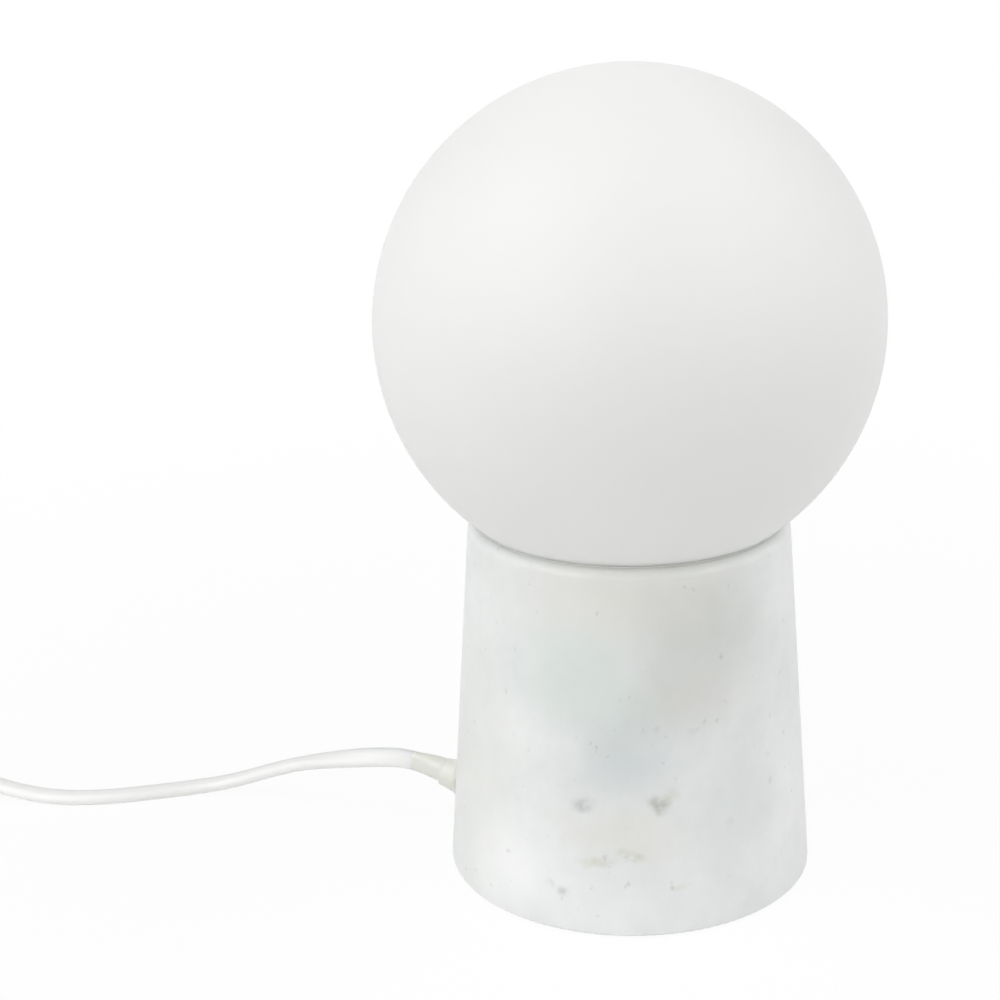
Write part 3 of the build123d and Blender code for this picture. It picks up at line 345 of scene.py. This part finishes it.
def makeCordSkin():
    material, tree = newMaterial("cord_pvc")
    place = addNode(tree, "ShaderNodeTexCoord")
    across = addNode(tree, "ShaderNodeAttribute", {"attribute_name": "acrossCord"})
    share = addNode(tree, "ShaderNodeMapRange", {"From Min": -1.0, "From Max": 1.0},
                    {"Value": across.outputs["Fac"]})
    # painted shade: this ramp greys the cord's skin towards both edges, most on the side that stands
    # uppermost at the bush
    ramp = addNode(tree, "ShaderNodeValToRGB", {}, {"Fac": share.outputs["Result"]})
    for position, _ in cordSkinAndShade["stops"][1:-1]:
        ramp.color_ramp.elements.new(position)
    for element, (_, hexValue) in zip(ramp.color_ramp.elements, cordSkinAndShade["stops"]):
        element.color = colour(hexValue)
    uneven = addNode(tree, "ShaderNodeTexNoise",
                     {"Scale": 1000 / cordSkinAndShade["shadeMm"], "Detail": cordSkinAndShade["shadeDetail"]},
                     {"Vector": place.outputs["Object"]})
    amount = addNode(tree, "ShaderNodeMath", {"operation": "MULTIPLY", 1: 2 * cordSkinAndShade["shade"]}, {0: uneven})
    tone = addNode(tree, "ShaderNodeMix", {"data_type": "RGBA", 7: (0.0, 0.0, 0.0, 1.0)},
                   {0: amount, 6: ramp.outputs["Color"]})
    grain = addNode(tree, "ShaderNodeTexNoise", {"Scale": 1000 / cordSkinAndShade["grainMm"]},
                    {"Vector": place.outputs["Object"]})
    bump = addNode(tree, "ShaderNodeBump",
                   {"Strength": cordSkinAndShade["bump"], "Distance": cordSkinAndShade["grainMm"] / 1000},
                   {"Height": grain.outputs["Fac"]})
    shader = addNode(tree, "ShaderNodeBsdfPrincipled",
                     {"Roughness": cordSkinAndShade["rough"], "IOR": cordSkinAndShade["ior"],
                      "Subsurface Weight": cordSkinAndShade["milk"],
                      "Subsurface Radius": (1.0, 1.0, 1.0), "Subsurface Scale": cordSkinAndShade["milkMm"] / 1000},
                     {"Base Color": tone.outputs[2], "Normal": bump.outputs["Normal"]})
    addNode(tree, "ShaderNodeOutputMaterial", {}, {"Surface": shader.outputs["BSDF"]})
    return material


materials = {name: makeFinish(name) for name in finishes}
materials["cord_pvc"] = makeCordSkin()
materials["honed_marble"] = makeMarble()
materials["opal_glass"] = makeOpal()
for name, node in nodes.items():
    node.data.materials.clear()
    node.data.materials.append(materials[nodeSlots[name]])
print("materials made:", len(materials))


# points closer than weld, in metres, are joined, and faces that meet within flatDegrees become one
smoothing = {"weld": 1e-6, "flatDegrees": 0.1, "areaWeight": 100}

# smooth copies of the pieces with round surfaces, because a CAD mesh is loose flat triangles. The number is
# the angle, in degrees, over which an edge stays sharp
roundPieces = {"stone_base": 32, "glass_globe": 32, "cord_bush": 35, "seat_ring": 60, "foot_pad": 32,
               "lampholder_dome": 32, "lampholder_skirt": 28, "lampholder_core": 32, "socket_shell": 32,
               "bulb_glass": 40, "bulb_stem": 32, "bulb_filaments": 32, "bulb_filament_wires": 32,
               "bulb_cap": 25, "bulb_cap_insulator": 32, "bulb_cap_contact": 32, "switch_lower_shell": 28,
               "switch_upper_shell": 28, "switch_rocker": 28, "plug_body": 28, "plug_pins": 32,
               "plug_pin_sleeves": 32, "cord_tie": 28}


# normals weighted by area, so that a flat face stays flat beside its rounded edges
def weighed(mesh):
    holder = bpy.data.objects.new("weighed", mesh)
    modifier = holder.modifiers.new("weigh", "WEIGHTED_NORMAL")
    modifier.mode = "FACE_AREA"
    modifier.weight = smoothing["areaWeight"]
    modifier.keep_sharp = True
    return plainMesh(holder)


def makeSmooth(name, sharpAngle):
    mesh = nodes[name].data.copy()
    work = bmesh.new()
    work.from_mesh(mesh)
    bmesh.ops.remove_doubles(work, verts=work.verts, dist=smoothing["weld"])
    flat = math.radians(smoothing["flatDegrees"])
    bmesh.ops.dissolve_limit(work, angle_limit=flat, verts=work.verts, edges=work.edges)
    work.to_mesh(mesh)
    work.free()
    soften(mesh, sharpAngle)
    return addPiece(name + "_smooth", weighed(mesh), nodeBodies[name], nodeSlots[name], [name])


smoothPieces = {name: makeSmooth(name, angle) for name, angle in roundPieces.items()}
print("smooth pieces made:", len(smoothPieces))


# flat two-core cord: its section, and its routes in metres. The routes are the part's, and lampRoute's points
# are moved to follow the photograph. Where the cord lies on the table it is tilted by lyingTilt of a
# right angle, and onEdge is the stretch from the bush over which it turns flat. The line has lineSteps points
# between two of a route's
cordShape = {"width": 0.0064, "thickness": 0.0038, "waist": 0.0003, "sectionPoints": 20, "lineSteps": 12,
             "lyingTilt": 0.04, "onEdge": (0.004, 0.060), "turnAtEnd": (0.020, 0.060)}
lampRoute = [(-0.05926, 0.01581, 0.02113), (-0.06878, 0.01985, 0.0240), (-0.0820, 0.0252, 0.0222),
             (-0.0940, 0.0314, 0.0188), (-0.1060, 0.0377, 0.0149), (-0.1185, 0.0424, 0.0100),
             (-0.1310, 0.0462, 0.0047), (-0.1440, 0.0472, 0.0022), (-0.1580, 0.0441, 0.0022),
             (-0.1730, 0.0409, 0.0022), (-0.1910, 0.0410, 0.0022), (-0.2080, 0.0445, 0.0044),
             (-0.2210, 0.0480, 0.0082), (-0.2360, 0.0480, 0.0082)]
coilRoute = [(-0.2940, 0.0480, 0.0082), (-0.3090, 0.0480, 0.0082), (-0.3244, 0.0426, 0.0062),
             (-0.3356, 0.0312, 0.0047), (-0.3411, 0.0158, 0.0042), (-0.3410, -0.0006, 0.00415)]
plugRoute = [(-0.3410, -0.0474, 0.0110), (-0.3365, -0.0616, 0.0088), (-0.3276, -0.0740, 0.0064),
             (-0.3154, -0.0828, 0.0057), (-0.3010, -0.0875, 0.00685), (-0.2860, -0.0875, 0.00685)]
coilShape = {"middle": (-0.2940, -0.0240), "radius": 0.0470, "pitch": 0.00685, "low": 0.00415,
             "high": 0.0110, "turnsInLayer": 3, "pointsPerTurn": 16}


# spiral in below, a climb of half a turn, and a spiral out above, as the part's coil is wound
def coilPoints():
    shape = coilShape
    perHalf = shape["pointsPerTurn"] // 2
    halves = 4 * shape["turnsInLayer"]
    climbHalf = 2 * shape["turnsInLayer"]
    outward = 1 / math.cos(math.pi / shape["pointsPerTurn"])
    stops = [(half + 1) // 2 for half in range(climbHalf + 1)]
    stops += [shape["turnsInLayer"]] + [(halves - half) // 2 for half in range(climbHalf + 2, halves + 1)]
    points = []
    for half in range(halves):
        for step in range(perHalf):
            share = step / perHalf
            inwards = stops[half] + (stops[half + 1] - stops[half]) * share
            radius = (shape["radius"] - shape["pitch"] * inwards) * outward
            angle = math.pi * (1 + half + share)
            climb = min(max(half + share - climbHalf, 0), 1)
            height = shape["low"] + (shape["high"] - shape["low"]) * climb
            x, y = shape["middle"]
            points.append((x + radius * math.cos(angle), y + radius * math.sin(angle), height))
    x, y = shape["middle"]
    points.append((x - shape["radius"] * outward, y, shape["high"]))
    return points


def centreLine(points):
    curve = bpy.data.curves.new("centreLine", "CURVE")
    curve.dimensions = "3D"
    curve.resolution_u = cordShape["lineSteps"]
    spline = curve.splines.new("NURBS")
    spline.points.add(len(points) - 1)
    for point, place in zip(spline.points, points):
        point.co = (*place, 1)
    spline.order_u = 3
    spline.use_endpoint_u = True
    line = plainMesh(bpy.data.objects.new("centreLine", curve))
    places = [v.co.copy() for v in line.vertices]
    return [p for i, p in enumerate(places) if i == 0 or (p - places[i - 1]).length > smoothing["weld"]]


# flat section with round ends and a shallow waist between the cores, as (across, through) in the cord's frame
def flatSection(width, thickness, waist=0.0, shift=0.0):
    half, roundEnd = width / 2, thickness / 2
    section = []
    for i in range(cordShape["sectionPoints"]):
        angle = 2 * math.pi * i / cordShape["sectionPoints"]
        side = 1 if math.cos(angle) >= 0 else -1
        across = side * (half - roundEnd) + roundEnd * math.cos(angle)
        through = roundEnd * math.sin(angle)
        through -= math.copysign(waist, through) * max(0, 1 - abs(across) / (half - roundEnd)) ** 2
        section.append((across + shift, through))
    return section


def lengthsAlong(line):
    lengths = [0.0]
    for before, after in zip(line, line[1:]):
        lengths.append(lengths[-1] + (after - before).length)
    return lengths


# rings of points round a line. stands says how far the wide side is turned upright, 0 flat to 1 on edge, and
# sectionAt gives the section, both at a distance along the line
def ringsAlong(line, stands, sectionAt):
    lengths = lengthsAlong(line)
    rings = []
    for i, place in enumerate(line):
        along = (line[min(i + 1, len(line) - 1)] - line[max(i - 1, 0)]).normalized()
        flat = Vector((0, 0, 1)).cross(along).normalized()
        upright = along.cross(flat).normalized()
        angle = stands(lengths[i]) * math.pi / 2
        across = flat * math.cos(angle) - upright * math.sin(angle)  # the side away from the camera rises
        through = upright * math.cos(angle) + flat * math.sin(angle)
        rings.append([place + across * a + through * t for a, t in sectionAt(lengths[i])])
    return rings


# quads between rings of the same count, the first vertex at start
def ringFaces(rings, start=0, inward=False):
    count = len(rings[0])
    faces = []
    for i in range(len(rings) - 1):
        for k in range(count):
            a, b = start + i * count + k, start + i * count + (k + 1) % count
            faces.append((a, b, b + count, a + count)[::-1 if inward else 1])
    return faces


def makeCord(name, line, stands, body, replaced):
    shape = cordShape
    section = flatSection(shape["width"], shape["thickness"], shape["waist"])
    rings = ringsAlong(line, stands, lambda distance: section)
    count, last = len(section), len(section) * (len(rings) - 1)
    faces = ringFaces(rings) + [tuple(reversed(range(count))), tuple(range(last, last + count))]
    mesh = bpy.data.meshes.new(name)
    mesh.from_pydata([point for ring in rings for point in ring], [], faces)
    for polygon in mesh.polygons:
        polygon.use_smooth = len(polygon.vertices) == 4
    skin = mesh.attributes.new("acrossCord", "FLOAT", "POINT")
    skin.data.foreach_set("value", [across / (shape["width"] / 2) for across, _ in section] * len(rings))
    mesh.update()
    print("cord made:", name, round(lengthsAlong(line)[-1], 4), "m")
    return addPiece(name, mesh, body, "cord_pvc", replaced)


def smooth(share):
    share = min(max(share, 0), 1)
    return share * share * (3 - 2 * share)


lampLine = centreLine(lampRoute)
spareLine = centreLine(coilRoute + coilPoints() + plugRoute)
lampLength, spareLength = lengthsAlong(lampLine)[-1], lengthsAlong(spareLine)[-1]


# on edge out of the bush, tilted where it lies on the table, flat into the switch
def lampStand(distance):
    start, end = cordShape["onEdge"]
    least = cordShape["lyingTilt"]
    tilt = least + (1 - least) * (1 - smooth((distance - start) / (end - start)))
    return tilt * smooth((lampLength - distance) / cordShape["turnAtEnd"][1])


# flat at the switch, on edge in the coil, flat at the plug
def spareStand(distance):
    straight, turn = cordShape["turnAtEnd"]
    return smooth((distance - straight) / turn) * smooth((spareLength - straight - distance) / turn)


lampCord = makeCord("flexToSwitch", lampLine, lampStand, "lamp_base", ["cord_to_switch"])
spareCord = makeCord("flexToPlug", spareLine, spareStand, "lamp_base",
                     ["cord_to_coil", "cord_coil", "cord_to_plug"])


# soft tail of the bush, drawn out along the cord: half height and half width at its start and end, and how
# far the start stands above the cord's middle
bushTail = {"length": 0.0112, "height": (0.0039, 0.00326), "width": (0.0036, 0.00196),
            "rise": 0.0004, "gap": 0.00003, "sharpAngle": 50}


def makeBushTail():
    shape = bushTail
    lengths = lengthsAlong(lampLine)
    line = [place for place, far in zip(lampLine, lengths) if far <= shape["length"]]
    total = lengthsAlong(line)[-1]

    def outside(distance):
        share = smooth(distance / total)
        high = shape["height"][0] + (shape["height"][1] - shape["height"][0]) * share
        wide = shape["width"][0] + (shape["width"][1] - shape["width"][0]) * share
        return flatSection(2 * high, 2 * wide, shift=-shape["rise"] * (1 - share))

    def inside(distance):
        return flatSection(cordShape["width"] + 2 * shape["gap"], cordShape["thickness"] + 2 * shape["gap"])

    outer, inner = ringsAlong(line, lampStand, outside), ringsAlong(line, lampStand, inside)
    count, half = len(outer[0]), len(outer[0]) * len(outer)
    faces = ringFaces(outer) + ringFaces(inner, half, inward=True)
    far = half - count
    for k in range(count):
        after = (k + 1) % count
        faces.append((k, half + k, half + after, after))
        faces.append((far + k, far + after, half + far + after, half + far + k))
    mesh = bpy.data.meshes.new("bushTail")
    mesh.from_pydata([point for ring in outer + inner for point in ring], [], faces)
    soften(mesh, shape["sharpAngle"])
    return addPiece("bushTail", mesh, "lamp_base", nodeSlots["cord_bush"])


bushTailPiece = makeBushTail()


# soft lip of the seat ring, which lines the slot between glass and stone up to the rim. reach is measured
# from the globe's centre, and radii from the lamp's axis
seatLip = {"centreHeight": 0.17175, "reach": (0.07505, 0.07542), "radii": (0.0427, 0.0454), "segments": 256,
           "sharpAngle": 50}


def makeSeatLip():
    shape = seatLip
    (low, high), (near, far) = shape["radii"], shape["reach"]
    section = [(low, near), (high, near), (high, far), (low, far)]
    count, steps = len(section), shape["segments"]
    points, faces = [], []
    for i in range(steps):
        angle = 2 * math.pi * i / steps
        here, there = i * count, (i + 1) % steps * count
        for k, (radius, reach) in enumerate(section):
            height = shape["centreHeight"] - math.sqrt(reach ** 2 - radius ** 2)
            points.append((radius * math.cos(angle), radius * math.sin(angle), height))
            after = (k + 1) % count
            faces.append((here + k, here + after, there + after, there + k))
    mesh = bpy.data.meshes.new("seatLip")
    mesh.from_pydata(points, [], faces)
    soften(mesh, shape["sharpAngle"])
    return addPiece("seatLip", mesh, "lamp_base", nodeSlots["seat_ring"])


makeSeatLip()
print("bush tail and seat lip made")


# a geometry tree with named inputs, and the sockets that they come out of
def newTree(name, inputs):
    tree = bpy.data.node_groups.new(name, "GeometryNodeTree")
    tree.interface.new_socket("Geometry", in_out="OUTPUT", socket_type="NodeSocketGeometry")
    for title, kind in inputs.items():
        tree.interface.new_socket(title, in_out="INPUT", socket_type="NodeSocket" + kind)
    tree.interface.new_socket("material", in_out="INPUT", socket_type="NodeSocketMaterial")
    return tree, addNode(tree, "NodeGroupInput").outputs


# every tree ends in real geometry with its material
def endTree(tree, given, geometry):
    real = addNode(tree, "GeometryNodeRealizeInstances", {}, {"Geometry": geometry})
    dressed = addNode(tree, "GeometryNodeSetMaterial", {}, {"Geometry": real, "Material": given["material"]})
    addNode(tree, "NodeGroupOutput", {}, {"Geometry": dressed})


# runs a tree on an empty mesh and keeps the result as a plain piece
def growPiece(name, tree, values, body, slot, sharpAngle, replaced=()):
    values = {**values, "material": materials[slot]}
    seed = bpy.data.objects.new(name + "Seed", bpy.data.meshes.new(name + "Seed"))
    modifier = seed.modifiers.new("grow", "NODES")
    modifier.node_group = tree
    for item in tree.interface.items_tree:
        if item.name in values:
            modifier[item.identifier] = values[item.name]
    mesh = plainMesh(seed)
    soften(mesh, sharpAngle)
    print("grown:", name, len(mesh.polygons), "faces")
    return addPiece(name, mesh, body, slot, replaced)


# rolled thread: a round bead along a rising spiral. Sizes in metres; the bead's middle lies under the sheet,
# so that only its crest shows
threads = {"bulbThread": {"body": "bulb", "slot": "nickel", "radius": 0.00650, "bead": 0.00052, "low": 0.1268,
                          "pitch": 0.00282, "turns": 5.2},
           "shellThread": {"body": "lamp_base", "slot": "nickel", "radius": 0.00757, "bead": 0.00052,
                           "low": 0.1225, "pitch": 0.00282, "turns": 5.4}}

# how finely every thread is drawn. It runs out at both ends, over one part of runOutParts
threadDrawing = {"pointsPerTurn": 48, "beadSides": 12, "runOutParts": 12.0, "sharpAngle": 60}


def threadTree():
    tree, given = newTree("thread", {"radius": "Float", "bead": "Float", "low": "Float", "pitch": "Float",
                                     "turns": "Float"})
    height = addNode(tree, "ShaderNodeMath", {"operation": "MULTIPLY"},
                     {0: given["pitch"], 1: given["turns"]})
    spiral = addNode(tree, "GeometryNodeCurveSpiral",
                     {"Resolution": threadDrawing["pointsPerTurn"], "Reverse": True},
                     {"Rotations": given["turns"], "Start Radius": given["radius"],
                      "End Radius": given["radius"], "Height": height})
    fromStart = addNode(tree, "GeometryNodeSplineParameter").outputs["Factor"]
    fromFar = addNode(tree, "ShaderNodeMath", {"operation": "SUBTRACT", 0: 1.0}, {1: fromStart})
    fromEnd = addNode(tree, "ShaderNodeMath", {"operation": "MINIMUM"}, {0: fromStart, 1: fromFar})
    grown = addNode(tree, "ShaderNodeMath", {"operation": "MULTIPLY", 1: threadDrawing["runOutParts"]},
                    {0: fromEnd})
    runOut = addNode(tree, "ShaderNodeMath", {"operation": "MINIMUM", 1: 1.0}, {0: grown})
    bead = addNode(tree, "GeometryNodeCurvePrimitiveCircle", {"Resolution": threadDrawing["beadSides"]},
                   {"Radius": given["bead"]})
    swept = addNode(tree, "GeometryNodeCurveToMesh", {"Fill Caps": True},
                    {"Curve": spiral, "Profile Curve": bead, "Scale": runOut})
    lift = addNode(tree, "ShaderNodeCombineXYZ", {}, {"Z": given["low"]})
    endTree(tree, given, addNode(tree, "GeometryNodeTransform", {}, {"Geometry": swept, "Translation": lift}))
    return tree


grownThread = threadTree()
for name, values in threads.items():
    growPiece(name, grownThread, values, values["body"], values["slot"], threadDrawing["sharpAngle"])


# screws of the switch, seen from below: a flat head with a cross recess, on a shank, at both ends of it
switchScrews = {"middleX": -0.265, "middleY": 0.048, "spacing": 0.036, "headLow": 0.0005, "headHigh": 0.0024,
                "headRadius": 0.0027, "shankRadius": 0.00135, "shankLow": 0.0011, "shankHigh": 0.0132,
                "recessLength": 0.0032, "recessWidth": 0.0008, "recessDepth": 0.0011}
screwDrawing = {"sides": 40, "sharpAngle": 30}


def screwTree():
    tree, given = newTree("screws", {title: "Float" for title in switchScrews})

    def lifted(shape, height):
        lift = addNode(tree, "ShaderNodeCombineXYZ", {}, {"Z": height})
        return addNode(tree, "GeometryNodeTransform", {}, {"Geometry": shape, "Translation": lift})

    def rod(radius, low, high):
        deep = addNode(tree, "ShaderNodeMath", {"operation": "SUBTRACT"}, {0: high, 1: low})
        shape = addNode(tree, "GeometryNodeMeshCylinder", {"Vertices": screwDrawing["sides"]},
                        {"Radius": radius, "Depth": deep})
        twice = addNode(tree, "ShaderNodeMath", {"operation": "ADD"}, {0: low, 1: high})
        return lifted(shape, addNode(tree, "ShaderNodeMath", {"operation": "MULTIPLY", 1: 0.5}, {0: twice}))

    # cuts one arm of the recess: its middle is level with the head's outer face
    def bar(across, along):
        deep = addNode(tree, "ShaderNodeMath", {"operation": "MULTIPLY", 1: 2.0}, {0: given["recessDepth"]})
        size = addNode(tree, "ShaderNodeCombineXYZ", {}, {"X": across, "Y": along, "Z": deep})
        return lifted(addNode(tree, "GeometryNodeMeshCube", {}, {"Size": size}), given["headLow"])

    def joined(operation, first, second):
        node = addNode(tree, "GeometryNodeMeshBoolean", {"operation": operation},
                       {"Mesh 1" if operation == "DIFFERENCE" else "Mesh 2": first})
        tree.links.new(second.outputs[0], node.inputs["Mesh 2"])
        return node

    head = rod(given["headRadius"], given["headLow"], given["headHigh"])
    shank = rod(given["shankRadius"], given["shankLow"], given["shankHigh"])
    screw = joined("UNION", head, shank)
    screw = joined("DIFFERENCE", screw, bar(given["recessLength"], given["recessWidth"]))
    screw = joined("DIFFERENCE", screw, bar(given["recessWidth"], given["recessLength"]))
    index = addNode(tree, "GeometryNodeInputIndex")
    side = addNode(tree, "ShaderNodeMath", {"operation": "SUBTRACT", 1: 0.5}, {0: index})
    away = addNode(tree, "ShaderNodeMath", {"operation": "MULTIPLY"}, {0: side, 1: given["spacing"]})
    x = addNode(tree, "ShaderNodeMath", {"operation": "ADD"}, {0: given["middleX"], 1: away})
    place = addNode(tree, "ShaderNodeCombineXYZ", {}, {"X": x, "Y": given["middleY"]})
    points = addNode(tree, "GeometryNodePoints", {"Count": 2}, {"Position": place})
    endTree(tree, given,
            addNode(tree, "GeometryNodeInstanceOnPoints", {}, {"Points": points, "Instance": screw}))
    return tree


switchScrewPiece = growPiece("switchScrews", screwTree(), switchScrews, "lamp_base", "zinc_plated_steel",
                             screwDrawing["sharpAngle"], ["switch_screws"])


# finger ridges on both ends of the rocker, which is made level and then turned to its off side about its pin
rockerRidges = {"perEnd": 3, "first": 0.0034, "spacing": 0.0014, "radius": 0.00045, "length": 0.0060,
                "topHeight": 0.00345, "slope": math.tan(math.radians(8)), "tilt": math.radians(8),
                "place": (-0.265, 0.048, 0.0133)}
ridgeDrawing = {"sides": 16, "sharpAngle": 40}


def ridgeTree():
    kinds = {title: "Float" for title in rockerRidges}
    tree, given = newTree("ridges", {**kinds, "perEnd": "Int", "place": "Vector"})
    index = addNode(tree, "GeometryNodeInputIndex")
    step = addNode(tree, "ShaderNodeMath", {"operation": "MODULO"}, {0: index, 1: given["perEnd"]})
    border = addNode(tree, "ShaderNodeMath", {"operation": "SUBTRACT", 1: 0.5}, {0: given["perEnd"]})
    farEnd = addNode(tree, "ShaderNodeMath", {"operation": "GREATER_THAN"}, {0: index, 1: border})
    twice = addNode(tree, "ShaderNodeMath", {"operation": "MULTIPLY", 1: 2.0}, {0: farEnd})
    side = addNode(tree, "ShaderNodeMath", {"operation": "SUBTRACT", 1: 1.0}, {0: twice})
    steps = addNode(tree, "ShaderNodeMath", {"operation": "MULTIPLY"}, {0: step, 1: given["spacing"]})
    out = addNode(tree, "ShaderNodeMath", {"operation": "ADD"}, {0: given["first"], 1: steps})
    rise = addNode(tree, "ShaderNodeMath", {"operation": "MULTIPLY"}, {0: out, 1: given["slope"]})
    height = addNode(tree, "ShaderNodeMath", {"operation": "ADD"}, {0: given["topHeight"], 1: rise})
    along = addNode(tree, "ShaderNodeMath", {"operation": "MULTIPLY"}, {0: side, 1: out})
    place = addNode(tree, "ShaderNodeCombineXYZ", {}, {"X": along, "Z": height})
    count = addNode(tree, "ShaderNodeMath", {"operation": "MULTIPLY", 1: 2.0}, {0: given["perEnd"]})
    points = addNode(tree, "GeometryNodePoints", {}, {"Count": count, "Position": place})
    ridge = addNode(tree, "GeometryNodeMeshCylinder", {"Vertices": ridgeDrawing["sides"]},
                    {"Radius": given["radius"], "Depth": given["length"]})
    laid = addNode(tree, "GeometryNodeTransform", {"Rotation": (math.pi / 2, 0, 0)}, {"Geometry": ridge})
    row = addNode(tree, "GeometryNodeInstanceOnPoints", {}, {"Points": points, "Instance": laid})
    turn = addNode(tree, "ShaderNodeCombineXYZ", {}, {"Y": given["tilt"]})
    endTree(tree, given,
            addNode(tree, "GeometryNodeTransform", {},
                    {"Geometry": row, "Translation": given["place"], "Rotation": turn}))
    return tree


rockerRidgePiece = growPiece("rockerRidges", ridgeTree(), rockerRidges, "rocker", "switch_moulding",
                             ridgeDrawing["sharpAngle"])


# what is on the cord to the switch
def shown(names):
    return [smoothPieces.get(name, nodes[name]) for name in names]


onLampCord = shown(["cord_bush", "switch_lower_shell", "switch_upper_shell", "switch_rocker",
                    "switch_rocker_pin", "switch_contacts"])
onLampCord += [bushTailPiece, switchScrewPiece, rockerRidgePiece]


# pale floor and soft studio light; the camera, mirrors and glass see the floor and world as white. The floor
# keeps its shadow near the lamp and clears to plain white further out. Lamps: name, place, size and power
studio = {"floorSize": 8.0, "floorWhite": "#F6F6F6", "floorGlow": 0.93, "clearing": (0.18, 0.60),
          "world": 0.22, "target": (0, 0, 0.13),
          "lamps": [("aboveLeft", (-0.75, -0.25, 1.15), 1.0, 5.8),
                    ("aboveRight", (0.75, -0.15, 1.15), 1.0, 4.5),
                    ("left", (-1.30, 0.10, 0.55), 1.0, 1.9),
                    ("right", (1.30, 0.10, 0.55), 1.0, 2.4),
                    ("frontLeft", (-1.00, -1.05, 0.75), 1.1, 7.6),
                    ("frontRight", (1.00, -1.05, 0.75), 1.1, 5.4),
                    ("back", (0.0, 1.20, 1.00), 1.2, 1.6)]}


# 1 for the rays of the camera, mirrors and glass
def seenRays(tree):
    rays = addNode(tree, "ShaderNodeLightPath").outputs
    both = addNode(tree, "ShaderNodeMath", {"operation": "MAXIMUM"},
                   {0: rays["Is Camera Ray"], 1: rays["Is Glossy Ray"]})
    return addNode(tree, "ShaderNodeMath", {"operation": "MAXIMUM"},
                   {0: both, 1: rays["Is Transmission Ray"]})


def makeStudio():
    half = studio["floorSize"] / 2
    mesh = bpy.data.meshes.new("floor")
    corners = [(-half, -half, 0), (half, -half, 0), (half, half, 0), (-half, half, 0)]
    mesh.from_pydata(corners, [], [(0, 1, 2, 3)])
    floor = bpy.data.objects.new("floor", mesh)
    scene.collection.objects.link(floor)
    material, tree = newMaterial("studio_floor")
    matt = addNode(tree, "ShaderNodeBsdfDiffuse", {"Color": colour(studio["floorWhite"])})
    glow = addNode(tree, "ShaderNodeEmission", {"Color": (1, 1, 1, 1), "Strength": 1.0})
    place = addNode(tree, "ShaderNodeTexCoord").outputs["Object"]
    away = addNode(tree, "ShaderNodeVectorMath", {"operation": "LENGTH"}, {0: place}).outputs["Value"]
    near, far = studio["clearing"]
    clear = addNode(tree, "ShaderNodeMapRange",
                    {"From Min": near, "From Max": far, "To Min": studio["floorGlow"]}, {"Value": away})
    share = addNode(tree, "ShaderNodeMath", {"operation": "MULTIPLY"}, {0: seenRays(tree), 1: clear})
    mix = addNode(tree, "ShaderNodeMixShader", {}, {0: share, 1: matt, 2: glow})
    addNode(tree, "ShaderNodeOutputMaterial", {}, {"Surface": mix})
    mesh.materials.append(material)
    world = bpy.data.worlds.new("studio")
    world.use_nodes = True
    tree = world.node_tree
    tree.nodes.clear()
    light = addNode(tree, "ShaderNodeBackground", {"Color": (1, 1, 1, 1), "Strength": studio["world"]})
    white = addNode(tree, "ShaderNodeBackground", {"Color": (1, 1, 1, 1), "Strength": 1.0})
    mix = addNode(tree, "ShaderNodeMixShader", {}, {0: seenRays(tree), 1: light, 2: white})
    addNode(tree, "ShaderNodeOutputWorld", {}, {"Surface": mix})
    scene.world = world
    target = Vector(studio["target"])
    for name, place, size, power in studio["lamps"]:
        data = bpy.data.lights.new(name, "AREA")
        data.size = size
        data.energy = power
        lamp = bpy.data.objects.new(name, data)
        lamp.location = place
        lamp.rotation_euler = (target - Vector(place)).to_track_quat("-Z", "Y").to_euler()
        scene.collection.objects.link(lamp)


makeStudio()
scene.view_settings.view_transform = "Standard"
print("studio set")

bpy.context.view_layer.update()
